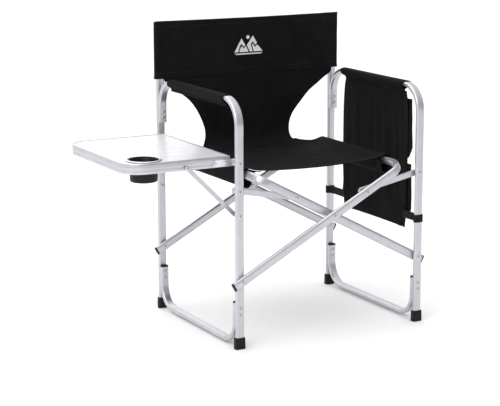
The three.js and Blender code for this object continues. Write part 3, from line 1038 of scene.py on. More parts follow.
@dataclass
class Riveter:
    """Sets pop rivets."""

    shop: Workshop
    shank: float = 3.0
    head: float = 5.8
    crown: float = 1.6

    def profile(self, length: float, collar: tuple[float, float] | None) -> list[tuple[float, float]]:
        """Half outline of a rivet whose heads' outer faces are length apart.

        Args:
            length: between the outer faces.
            collar: start and end of a spacer along it, if any.

        Returns:
            (radius, place along it) pairs.
        """
        crown, head = self.crown, self.head
        near = [(0.0, 0.9), (1.3, 0.85), (1.7, 0.05), (3.6, 0.1), (4.9, 0.55), (head, 1.25), (head, crown)]
        far = [(radius, length - place) for radius, place in reversed(near)]
        middle = [(self.shank, crown), (self.shank, length - crown)]
        if collar:
            start, end = collar
            ring = [(self.shank, start), (6.4, start), (7, start + 0.6), (7, end - 0.6), (6.4, end),
                    (self.shank, end)]
            middle[1:1] = ring
        return [*near, *middle, *far]

    def stand_in(self, node: str, body: str, collar: tuple[float, float] | None = None) -> None:
        """Replaces one of the frame's rivets.

        Args:
            node: the rivet's node.
            body: what it moves with.
            collar: start and end of its spacer, as y.
        """
        low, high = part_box(node)
        x, _, z = self.shop.plan.middle(node)
        start = low.y / MM
        spacer = tuple(y - start for y in collar) if collar else None
        made = self.shop.lathe(
            f"{node}_head", self.profile((high.y - low.y) / MM, spacer), (x, start, z), "y", Finish.STEEL)
        self.shop.hang(made, body, node)

    def between(self, name: str, x: float, z: float, y0: float, y1: float, body: str) -> None:
        """Sets a rivet through the faces at y0 and y1.

        Args:
            name: of the piece.
            x: across the chair.
            z: height.
            y0: front face.
            y1: rear face.
            body: what it moves with.
        """
        length = y1 - y0 + 2 * self.crown
        made = self.shop.lathe(name, self.profile(length, None), (x, y0 - self.crown, z), "y", Finish.STEEL)
        self.shop.hang(made, body)


@dataclass
class SideFrame:
    """Leg and armrest, rear post, floor bar, feet and caps of one side."""

    shop: Workshop
    rivets: Riveter
    side: str
    leg_x: float = 287.5
    leg_y: float = 241.0
    section: tuple[float, float] = (25.0, 13.0)
    wall: float = 1.3
    foot: tuple[float, float, float] = (30.0, 18.0, 32.0)

    @property
    def x(self) -> float:
        """The side's place across the chair."""
        return -self.leg_x if self.side == "left" else self.leg_x

    @property
    def body(self) -> str:
        """The body that the side belongs to."""
        return f"{self.side}_frame"

    def bent(self, name: str, corners: Sequence[tuple[float, ...]]) -> None:
        """Bends one of the side's tubes, in place of the frame's node of that name.

        Args:
            name: of the tube, without its side.
            corners: its route's corners as (y, z), with a bend radius where it turns.
        """
        made = self.shop.tube(f"{self.side}_{name}_tube", corners, (self.x, 0, 0), (0, 1, 0), (0, 0, 1),
                              self.section, self.wall, Finish.ALUMINIUM)
        self.shop.hang(made, self.body, f"{self.side}_{name}")

    def feet(self) -> None:
        """Moulds the two rubber feet."""
        length, width, height = self.foot
        levels = ((0, -1.6), (0.5, -0.5), (1.6, 0), (5.2, 0), (5.8, -0.8), (6.8, -0.8), (7.4, 0), (24, -0.3),
                  (29.5, -0.9), (31.3, -1.7), (height, -3.2))
        for end, y in (("front", -self.leg_y), ("rear", self.leg_y)):
            rings = []
            for z, grow in levels:
                shape = rounded_outline(length + grow, width + grow, 4.5)
                rings.append(np.column_stack([shape + (self.x, y), np.full(len(shape), z)]))
            leg = rounded_outline(self.section[0] + 0.5, self.section[1] + 0.5, 7)
            for z in (height, height - 4):
                rings.append(np.column_stack([leg + (self.x, y), np.full(len(leg), z)]))
            made = self.shop.grid(f"{self.side}_{end}_rubber_foot", np.array(rings), Finish.RUBBER)
            self.shop.hang(made, self.body, f"{self.side}_{end}_foot")

    def bar_caps(self, y: float, top: float) -> None:
        """Plugs the floor bar's two ends.

        Args:
            y: of its uprights.
            top: height of their ends.
        """
        for end, place in (("front", -y), ("rear", y)):
            made = end_plug(self.shop, f"{self.side}_floor_bar_{end}_plug", (self.x, place, top),
                            (0, 0, 1), (1, 0, 0), self.section)
            self.shop.hang(made, self.body, f"{self.side}_floor_bar_{end}_cap")

    def build(self) -> None:
        """Builds the side."""
        drop = 227.4
        self.bent("front_leg_and_arm",
                  [(-self.leg_y, 4.3), (-self.leg_y, 678, 70), (drop, 678, 70), (drop, 556)])
        self.bent("rear_post", [(self.leg_y, 4.3), (self.leg_y, 843)])
        self.bent("floor_bar", [(-227.5, 127), (-227.5, 12.5, 65), (227.5, 12.5, 65), (227.5, 127)])
        self.feet()
        self.bar_caps(227.5, 127)
        self.rivets.stand_in(f"{self.side}_arm_rivet", self.body)
        self.rivets.between(f"{self.side}_arm_lower_rivet", self.x, 573, drop - 6.8, 247.8, self.body)
        for z in (113, 95):
            for end, sign in (("front", -1), ("rear", 1)):
                y0, y1 = sorted((sign * 220.7, sign * 247.8))
                name = f"{self.side}_floor_bar_{end}_rivet_{z}"
                self.rivets.between(name, self.x, z, y0, y1, self.body)
        for end in ("front", "rear"):
            self.rivets.stand_in(f"{self.side}_{end}_link_rivet", self.body)
            self.rivets.stand_in(f"{self.side}_{end}_pivot_rivet", self.body)
        log.info("%s side frame", self.side)


def end_plug(shop: Workshop, name: str, base: Sequence[float], outward: Sequence[float],
             wide: Sequence[float], section: tuple[float, float]) -> bpy.types.Object:
    """Moulds a tube's end plug.

    Args:
        shop: makes it.
        name: of the piece.
        base: middle of the tube's end.
        outward: the way that the tube ends.
        wide: the way of the tube's long side.
        section: the tube's long way and short way.

    Returns:
        The plug.
    """
    out, one = np.array(outward, float), np.array(wide, float)
    two = np.cross(out, one)
    rings = []
    for along, grow in ((-6, -3.4), (0.2, -3.4), (0.3, -0.4), (0.8, 0), (3.2, 0), (4.0, -0.7), (4.3, -2.4)):
        shape = rounded_outline(section[0] + grow, section[1] + grow, section[1])
        rings.append(np.array(base) + out * along + shape[:, :1] * one + shape[:, 1:] * two)
    return shop.grid(name, np.array(rings), Finish.PLASTIC)


@dataclass
class SeatFrame:
    """One crossed U tube with its plugs and crossing rivet."""

    shop: Workshop
    rivets: Riveter
    letter: str
    leg_x: float = 287.5
    pivot_z: float = 189.0
    slope: float = math.asin((462.0 - 189.0) / 581.0)
    length: float = 581.0
    tail: float = 24.0
    outer: float = 255.0
    inner: float = 227.0
    bend: float = 45.0
    section: tuple[float, float] = (25.0, 13.0)
    wall: float = 1.3
    collar: tuple[float, float] = (-248.2, -233.8)

    @property
    def sign(self) -> float:
        """1 for the frame that starts at the left leg, -1 for its twin."""
        return 1.0 if self.letter == "a" else -1.0

    def build(self) -> None:
        """Builds the frame."""
        name, sign = f"seat_frame_{self.letter}", self.sign
        along = np.array([sign * math.cos(self.slope), 0, math.sin(self.slope)])
        across = np.array([0, sign, 0])
        origin = np.array([-sign * self.leg_x, 0, self.pivot_z])
        route = [(-self.tail, -self.outer), (self.length, -self.outer, self.bend),
                 (self.length, self.inner, self.bend), (-self.tail, self.inner)]
        made = self.shop.tube(f"{name}_tube", route, origin, along, across, self.section, self.wall,
                              Finish.ALUMINIUM)
        self.shop.hang(made, name, name)
        ends = ("front", "rear") if self.letter == "a" else ("rear", "front")
        for end, y in zip(ends, (-self.outer, self.inner)):
            base = origin + along * -self.tail + across * y
            made = end_plug(self.shop, f"{name}_{end}_plug", base, -along, np.cross(along, across),
                            self.section)
            self.shop.hang(made, name, f"{name}_{end}_cap")
        start, end = sorted(sign * y for y in self.collar)
        self.rivets.stand_in(f"{ends[0]}_crossing_rivet", "seat_frame_a", (start, end))
        log.info("%s", name)


@dataclass
class FoldingLink:
    """Link from a leg to a seat frame, with its bosses and pin."""

    shop: Workshop
    rivets: Riveter
    side: str
    end: str
    leg: tuple[float, float] = (287.5, 433.2)
    pin: tuple[float, float] = (104.4, 397.6)
    width: float = 17.0
    thick: float = 8.0
    layers: tuple[float, float] = (227.0, 215.5)
    leg_face: float = 233.9
    strut_faces: tuple[float, float] = (261.5, 233.5)
    pin_face: float = 247.9
    gap: float = 0.3

    def build(self) -> None:
        """Builds the link."""
        name = f"{self.side}_{self.end}_link"
        sign_x = 1 if self.side == "right" else -1
        sign_y = -1 if self.end == "front" else 1
        outer = (self.side == "right") == (self.end == "front")
        layer = self.layers[0] if outer else self.layers[1]
        start = np.array([sign_x * self.leg[0], sign_y * layer, self.leg[1]])
        finish = np.array([sign_x * self.pin[0], sign_y * layer, self.pin[1]])
        run = np.linalg.norm(finish - start)
        first = (finish - start) / run
        second = np.cross((0, 1, 0), first)
        outline = rounded_outline(run + self.width, self.width, self.width / 2, 12) + (run / 2, 0)
        bar = self.shop.plate(f"{name}_bar", [outline], self.thick, 1.4, start, first, second,
                              Finish.ALUMINIUM)
        self.shop.hang(bar, name, name)
        bosses = [("leg", start, self.leg_face)] + ([("pin", finish, self.pin_face)] if outer else [])
        for title, spot, face in bosses:
            y0, y1 = sorted((sign_y * face, sign_y * (layer + self.thick / 2 - 0.5)))
            profile = [(6.2, 0), (7, 0.6), (7, y1 - y0 - 0.6), (6.2, y1 - y0)]
            boss = self.shop.lathe(f"{name}_{title}_boss", profile, (spot[0], y0, spot[2]), "y",
                                   Finish.ALUMINIUM)
            self.shop.hang(boss, name)
        strut = self.strut_faces[0] if outer else self.strut_faces[1]
        y0, y1 = sorted((sign_y * (strut + self.gap), sign_y * (layer - self.thick / 2 - self.gap)))
        self.rivets.between(f"{name}_pin", finish[0], finish[2], y0, y1, name)
        log.info("%s", name)


# ---------------------------------------------------------------- side table


@dataclass
class SideTable:
    """Rim, board, cup holder, brackets and brace of the drop-down table."""

    shop: Workshop
    rivets: Riveter
    rim_thick: float = 12.0
    ledge: float = 5.0
    outer_corner: float = 58.0
    inner_corner: float = 10.0
    cup_radius: float = 39.0
    cup_flange: float = 48.5
    cup_depth: float = 57.0
    bracket_rivets: tuple[float, float] = (-343.8, -308.8)
    head_seat: float = 0.3
    brace_end: tuple[float, float] = (-287.5, 368.0)
    brace_width: float = 12.0
    x0: float = field(init=False)
    x1: float = field(init=False)
    half: float = field(init=False)
    top: float = field(init=False)
    rim_height: float = field(init=False)

    def __post_init__(self) -> None:
        """Reads the table's ends, half depth, top and rim height from its node."""
        low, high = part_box("table_rim")
        self.x0, self.x1 = low.x / MM - self.shop.plan.centre_x, high.x / MM - self.shop.plan.centre_x
        self.half, self.top, self.rim_height = high.y / MM, high.z / MM, (high.z - low.z) / MM

    def outline(self, inset: float, steps: int = 12) -> Points:
        """The table's outline drawn in by inset, with its outer corners larger.

        Args:
            inset: from the rim's outer face.
            steps: points round each corner.

        Returns:
            The points, two numbers each, in chair millimetres.
        """
        points = []
        corners = ((self.x1, self.half, self.inner_corner), (self.x0, self.half, self.outer_corner),
                   (self.x0, -self.half, self.outer_corner), (self.x1, -self.half, self.inner_corner))
        for index, (x, y, radius) in enumerate(corners):
            radius = max(radius - inset, 1.5)
            turn = np.linspace(0, math.pi / 2, steps) + index * math.pi / 2
            into = np.array([-1 if x == self.x1 else 1, -1 if y > 0 else 1])
            centre = np.array([x, y]) + into * (inset + radius)
            points.append(centre + radius * np.stack([np.cos(turn), np.sin(turn)], axis=1))
        return np.concatenate(points)

    def rim(self) -> None:
        """Sweeps the extruded rim, with two grooves along its outer face."""
        top, low, inner = self.top, self.top - self.rim_height, self.rim_thick - self.ledge
        profile = [(0.5, top - 0.3), (0, top - 1.2)]
        for z in (top - 7.5, top - 19.0):
            profile += [(0, z), (0.9, z - 0.5), (0.9, z - 1.6), (0, z - 2.1)]
        profile += [(0, low + 1.2), (0.5, low + 0.3), (1.4, low), (self.rim_thick - 1, low),
                    (self.rim_thick, low + 1), (self.rim_thick, top - 7.4), (inner, top - 7.3),
                    (inner, top - 0.8), (inner - 0.7, top), (1.4, top)]
        rings = []
        for inset, z in profile:
            shape = self.outline(inset)
            rings.append(np.column_stack([shape, np.full(len(shape), z)]))
        made = self.shop.grid("table_rim_extrusion", np.array(rings), Finish.ALUMINIUM, Ends.JOINED)
        self.shop.hang(made, "side_table", "table_rim")

    def board(self) -> None:
        """Cuts the white board with its cup hole."""
        x, y, _ = self.shop.plan.middle("cup_holder")
        turn = np.linspace(0, 2 * math.pi, 64, endpoint=False)
        hole = np.stack([np.cos(turn), np.sin(turn)], axis=1) * (self.cup_radius + 0.7) + (x, y)
        made = self.shop.plate("table_board_panel", [self.outline(self.rim_thick - self.ledge + 0.3), hole],
                               6.0, 0.6, (0, 0, self.top - 4), (1, 0, 0), (0, 1, 0), Finish.BOARD)
        self.shop.hang(made, "side_table", "table_board")

    def cup(self) -> None:
        """Turns the cup holder and its bright ring."""
        x, y, _ = self.shop.plan.middle("cup_holder")
        r, top, deep = self.cup_radius, self.top, self.cup_depth - 0.2
        well = [(0, -deep), (r - 6, -deep), (r - 3.2, 1.4 - deep), (r - 2.2, 4.8 - deep), (r - 0.4, -2),
                (r - 0.2, 0.3), (r + 3.4, 0.4), (r + 3.6, 1.6), (r + 1.4, 2.6), (r - 1.2, 2.2),
                (r - 2.2, 0.6), (r - 4.2, 3.8 - deep), (r - 6.5, 2.5 - deep), (0, 2.4 - deep)]
        made = self.shop.lathe("cup_holder_well", well, (x, y, top), "z", Finish.PLASTIC, 72)
        self.shop.hang(made, "side_table", "cup_holder")
        f = self.cup_flange
        ring = [(r + 3.2, 0.3), (f - 1, 0.3), (f, 0.9), (f - 0.3, 1.9), (f - 2.2, 2.7), (r + 4.6, 2.8),
                (r + 3.2, 2.0)]
        turned = self.shop.lathe("cup_holder_ring", ring, (x, y, top), "z", Finish.TRIM, 72, Ends.JOINED)
        self.shop.hang(turned, "side_table")

    def hinges(self) -> None:
        """Cuts the two hinge brackets and sets their rivets."""
        for end, sign in (("front", -1), ("rear", 1)):
            node = f"table_{end}_bracket"
            low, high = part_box(node)
            x, y, z = self.shop.plan.middle(node)
            length, height = (high.x - low.x) / MM, (high.z - low.z) / MM
            outline = rounded_outline(length, height, height / 2, 12)
            made = self.shop.plate(f"{node}_plate", [outline], (high.y - low.y) / MM, 0.5, (x, y, z),
                                   (1, 0, 0), (0, 0, 1), Finish.TRIM)
            self.shop.hang(made, "side_table", node)
            self.rivets.stand_in(f"table_{end}_hinge_rivet", "left_frame")
            outer, inner = sign * (abs(y) + self.head_seat), sign * (self.half - self.rim_thick)
            y0, y1 = sorted((outer, inner))
            for number, place in enumerate(self.bracket_rivets):
                self.rivets.between(f"table_{end}_bracket_rivet_{number}", place, z, y0, y1, "side_table")

    def brace(self) -> None:
        """Cuts the brace that holds the table level."""
        low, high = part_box("table_brace")
        _, y, _ = self.shop.plan.middle("table_brace")
        x, _, z = self.shop.plan.middle("table_brace_rivet")
        start = np.array([x, y, z])
        end = np.array([self.brace_end[0], y, self.brace_end[1]])
        run = np.linalg.norm(end - start)
        first = (end - start) / run
        width = self.brace_width
        outline = rounded_outline(run + width, width, width / 2, 12) + (run / 2, 0)
        made = self.shop.plate("table_brace_bar", [outline], (high.y - low.y) / MM, 1.1, start, first,
                               np.cross((0, 1, 0), first), Finish.ALUMINIUM)
        self.shop.hang(made, "table_brace", "table_brace")
        self.rivets.stand_in("table_brace_rivet", "side_table")
        self.rivets.stand_in("left_front_brace_stud", "left_frame")
        self.rivets.stand_in("left_rear_brace_stud", "left_frame")

    def build(self) -> None:
        """Builds the table."""
        self.rim()
        self.board()
        self.cup()
        self.hinges()
        self.brace()
        log.info("side table")


# ---------------------------------------------------------------- cloth


@dataclass
class Seat:
    """Seat cloth, one piece from sleeve to sleeve."""

    shop: Workshop
    front: float = -168.0
    rear: float = 186.0
    rail_x: float = 225.4
    thick: float = 1.2

    def half_profile(self) -> Points:
        """Draws half of the seat from its middle outwards, over the rail and back to the underside.

        Returns:
            The points as (x, z).
        """
        corners = [(0, 463.2), (70, 464.2), (140, 467), (184, 470.2), (205, 474.4), (215, 478), (225, 479.6),
                   (234.5, 477.6), (240.6, 470.5), (242, 460), (241.4, 448), (238.5, 436), (233, 428),
                   (225, 424.6), (217, 426.5), (211.6, 434), (209.4, 446), (207.6, 458), (203.5, 466.5),
                   (196, 468.6), (178, 467.0)]
        return resampled(smooth_curve(np.array(corners, float)), 74)

    def grid(self) -> Points:
        """Lays out the seat's rows.

        Returns:
            The rows from front to rear.
        """
        half = self.half_profile()
        whole = np.concatenate([half[::-1] * (-1, 1), half[1:]])
        rows = []
        for t in np.linspace(0, 1, 50):
            y = self.front + (self.rear - self.front) * t
            span = np.clip(1 - (np.abs(whole[:, 0]) / self.rail_x) ** 2, 0, 1)
            drawn = 2.0 * span * ((1 - t) ** 6 - t ** 6)
            sag = span * (0.4 + 3.2 * math.sin(math.pi * t))
            rows.append(np.column_stack([whole[:, 0], y + drawn, whole[:, 1] - sag]))
        return np.array(rows)

    def rear_height(self, x: Points) -> Points:
        """Finds the height of the seat's rear edge.

        Args:
            x: places across the chair.

        Returns:
            The heights.
        """
        half = self.half_profile()
        top = half[:int(np.argmax(half[:, 1])) + 1]
        return np.interp(np.abs(x), top[:, 0], top[:, 1])

    def build(self) -> None:
        """Builds the seat and lets it settle."""
        rows = self.grid()
        loose = crumple(rows, 2, 2.2, 62.0, 3.1)
        inside = np.clip((150 - np.abs(rows[..., 1:2] - 6)) / 30, 0, 1)
        share = np.clip((self.rail_x - 22 - np.abs(rows[..., :1])) / 40, 0, 1) * inside
        rows = rows * (1 - share) + loose * share
        made = self.shop.grid("seat_cloth_panel", rows, Finish.CLOTH, Ends.OPEN, False, "ab")
        edge = self.rail_x - 26
        self.shop.relax(
            made, lambda p: 1.0 if abs(p.x) > edge or not -158 < p.y < 160 else 0.0, 24, 0.8, 5.0, 0.004)
        self.shop.thicken(made, self.thick)
        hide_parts("seat_cloth")
        level = self.shop.plan.row([(-self.rail_x + 25, 0, 470), (self.rail_x - 25, 0, 470)])
        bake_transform(made)
        log.info("seat cloth")


@dataclass
class Backrest:
    """Back panel, its two post sleeves, the lower back and the emblem."""

    shop: Workshop
    seat: Seat
    bottom: float = 681.0
    top: float = 847.0
    front_y: float = 232.4
    seam_x: float = 266.0
    outer_x: float = 305.0
    thick: float = 1.2
    folded_spacing: float = 227.9
    post_x: float = 287.5
    face: Points = field(init=False)

    @property
    def keep(self) -> float:
        """Share of the panel's width that is left when the chair is folded."""
        span = 2 * self.seam_x
        return (self.folded_spacing - 2 * (self.post_x - self.seam_x)) / span

    def flatten(self, thing: bpy.types.Object) -> None:
        """Hangs a piece between the posts on the left frame, with a mesh of its own.

        Args:
            thing: the piece.
        """
        anchor = self.shop.plan.row([(-self.seam_x, 0, 0)])[0]
        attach(thing, "left_frame")
        self.keep
        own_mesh(thing)

    def panel(self) -> None:
        """Sews the flat middle of the back panel."""
        xs = np.linspace(-self.seam_x, self.seam_x, 110)
        zs = np.linspace(self.bottom, self.top, 36)
        x, z = np.meshgrid(xs, zs)
        y = np.full_like(x, self.front_y)
        up = (z - self.bottom) / (self.top - self.bottom)
        span = 1 - (x / self.seam_x) ** 2
        rows = np.stack([x, y + 2.2 * span * np.sin(math.pi * up) + 1.0 * span, z - 1.6 * span * up], axis=2)
        loose = crumple(crumple(rows, 1, 2.2, 85.0, 8.3), 1, 0.8, 26.0, 4.4)
        share = np.clip((self.seam_x - np.abs(x)) / 30, 0, 1)[..., None]
        self.face = rows * (1 - share) + loose * share
        made = self.shop.grid("back_panel_cloth", self.face, Finish.CLOTH, Ends.OPEN, False, "ab")
        self.shop.thicken(made, self.thick)
        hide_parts("back_panel")
        self.flatten(made)

    def sleeve(self, side: str) -> None:
        """Sews the pocket that slips over one post.

        Args:
            side: "left" or "right".
        """
        sign = -1 if side == "left" else 1
        line = [(self.seam_x - 1, self.front_y), (self.seam_x + 8, self.front_y), (298, self.front_y - 0.2),
                (303.5, 234), (self.outer_x, 241), (303, 248), (297, 249.6), (280, 249.6), (271, 246),
                (self.seam_x - 2, self.front_y + 1.9), (self.seam_x - 14, self.front_y + 1.7)]
        shape = resampled(smooth_curve(np.array(line, float), 2), 64)
        rows = []
        top = self.top
        for z in [*np.linspace(self.bottom, top - 4, 22), top - 2.5, top - 1.2, top - 0.4]:
            close = max(0.0, (z - (self.top - 4)) / 3.6)
            flare = 1.2 * max(0.0, 1 - (z - self.bottom) / 20) ** 2
            y = shape[:, 1] + (self.front_y + 1.0 - shape[:, 1]) * close
            x = shape[:, 0] + flare * (shape[:, 0] > 290)
            rows.append(np.column_stack([sign * x, y, np.full(len(shape), z)]))
        made = self.shop.grid(f"back_panel_{side}_sleeve", crumple(np.array(rows), 1, 0.5, 40, sign * 5.0),
                              Finish.CLOTH, Ends.OPEN, False, "ab")
        self.shop.thicken(made, self.thick)
        self.shop.hang(made, f"{side}_frame")

    def lower(self) -> None:
        """Sews the lower back, from the panel down to the seat's rear edge."""
        edges = np.array([
            (690, 234.2, -283, 283), (681, 233.6, -281, 283), (670, 232.4, -274, 283), (660, 231, -262, 270),
            (644, 228.5, -238, 244), (620, 225, -202, 207), (593, 222.5, -180, 176), (567, 224.5, -165, 153),
            (547, 228, -157, 140), (530, 230.5, -152, 133), (513, 230.5, -151, 130), (502, 226, -154, 129),
            (492, 217, -160, 130), (482, 203, -171, 134), (475, 193, -186, 147), (470, 185.5, -200, 172),
            (467, 178, -206, 192), (465.5, 170, -209, 199)], float)
        lines = smooth_curve(edges, 2)
        run = np.concatenate([[0], np.cumsum(np.linalg.norm(np.diff(lines[:, :2], axis=0), axis=1))])
        rows = []
        for distance in np.linspace(run[-1], 0, 76):
            z, y, left, right = (np.interp(distance, run, lines[:, k]) for k in range(4))
            across = np.linspace(-1, 1, 60)
            x = (left + right) / 2 + across * (right - left) / 2
            hollow = 5.0 * (1 - across ** 2) * math.sin(math.pi * np.clip(distance / run[-1], 0, 1))
            lain = np.clip(1 - (run[-1] - distance) / 46, 0, 1) ** 1.5
            lift = (self.seat.rear_height(x) + 1.6 - lines[-1, 0]) * lain
            rows.append(np.column_stack([x, y + hollow * (1 - lain), z + lift]))
        rows = np.array(rows)
        free = np.clip((rows[..., 2:] - 478) / 20, 0, 1) * np.clip((684 - rows[..., 2:]) / 20, 0, 1)
        free = free * (1 - 0.85 * np.abs(np.linspace(-1, 1, 60)) ** 5)[None, :, None]
        loose = crumple(crumple(rows, 1, 4.5, 105.0, 1.7), 1, 1.2, 34.0, 9.1)
        rows = rows * (1 - free) + loose * free
        made = self.shop.grid("lower_back_cloth", rows, Finish.CLOTH, Ends.OPEN, False, "lr")
        self.shop.relax(made, lambda p: 1.0 if p.z > 676 or p.z < 480 else 0.0, 22, 0.6, 9.0, 0.014)
        self.shop.thicken(made, self.thick)
        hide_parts("lower_back")
        self.flatten(made)

    def emblem(self) -> None:
        """Embroiders two mountain peaks in white thread."""
        shapes = {
            "left_peak": [(-52, -22), (-27, 21), (-13, 0), (-18, -6), (-26, 4), (-33, -3), (-38, -22)],
            "left_slope": [(-34, -22), (-29, -8), (-24, -3), (-18, -12), (-11, -3), (-1, -22)],
            "right_peak": [(4, -22), (-7, -1), (14, 28), (30, 4), (23, -2), (14, 10), (7, 1), (14, -22)],
            "right_slope": [(18, -22), (12, -1), (15, 3), (22, -9), (31, -1), (50, -22)],
            "ground": [(-52, -26), (50, -26), (42, -30), (-44, -30)],
        }
        turn = np.linspace(0, 2 * math.pi, 20, endpoint=False)
        outlines = {name: np.array(points, float) for name, points in shapes.items()}
        outlines["sun"] = np.stack([np.cos(turn), np.sin(turn)], axis=1) * 6 + (-4, 24)
        for name, outline in outlines.items():
            made = self.shop.plate(f"emblem_{name}", [outline * 0.94], 1.1, 0.45,
                                   (0, -0.95, 764), (1, 0, 0), (0, 0, 1), Finish.THREAD)
            for vertex in made.data.vertices:
                vertex.co.y += self.face_y(vertex.co.x / MM - self.shop.plan.centre_x, vertex.co.z / MM) * MM
            self.flatten(made)

    def face_y(self, x: float, z: float) -> float:
        """Finds the back panel's y, between its rows and columns.

        Args:
            x: across the chair.
            z: height.

        Returns:
            The panel's y there.
        """
        rows, columns = self.face.shape[:2]
        i = min(max((z - self.bottom) / (self.top - self.bottom), 0), 0.999) * (rows - 1)
        j = min(max((x + self.seam_x) / (2 * self.seam_x), 0), 0.999) * (columns - 1)
        a, b = int(i), int(j)
        patch = self.face[a:a + 2, b:b + 2, 1]
        return float(np.array([1 - (i - a), i - a]) @ patch @ np.array([1 - (j - b), j - b]))

    def build(self) -> None:
        """Builds the backrest."""
        self.panel()
        self.sleeve("left")
        self.sleeve("right")
        self.lower()
        self.emblem()
        log.info("backrest")


@dataclass
class ArmSleeve:
    """Cloth sleeve round one armrest, sewn into a fin below the tube."""

    shop: Workshop
    side: str
    front: float = -174.0
    rear: float = 165.0
    arm_z: float = 678.0

    def build(self) -> None:
        """Builds the sleeve."""
        x = -287.5 if self.side == "left" else 287.5
        slant = 0.0 if self.side == "left" else 14.0
        line = np.array([
            (0.9, 654.2), (1.0, 658), (1.6, 662.5), (6, 665.6), (12.6, 669.4), (15.2, 675), (14.6, 681.5),
            (10, 685.6), (0, 686.6), (-10, 685.6), (-14.6, 681.5), (-15.2, 675), (-12.6, 669.4), (-6, 665.6),
            (-1.6, 662.5), (-1.0, 658), (-0.9, 654.2)])
        shape = resampled(smooth_curve(line, 2), 70)
        low, high = shape[:, 1].min(), shape[:, 1].max()
        rows = []
        for t in np.linspace(0, 1, 56):
            y = self.front + (self.rear - self.front) * t
            down = (high - shape[:, 1]) / (high - low)
            shift = slant * down * ((1 - t) ** 8 - t ** 8)
            puff = 1 + 0.012 * math.sin(14 * t)
            rows.append(np.column_stack([x + shape[:, 0] * puff, y + shift, shape[:, 1]]))
        rows = crumple(np.array(rows), 0, 0.8, 34.0, x)
        made = self.shop.grid(f"{self.side}_arm_cloth", rows, Finish.CLOTH, Ends.OPEN, False, "ablr")
        self.shop.thicken(made, 1.2)
        self.shop.hang(made, f"{self.side}_frame", f"{self.side}_arm_sleeve")
        log.info("%s arm sleeve", self.side)


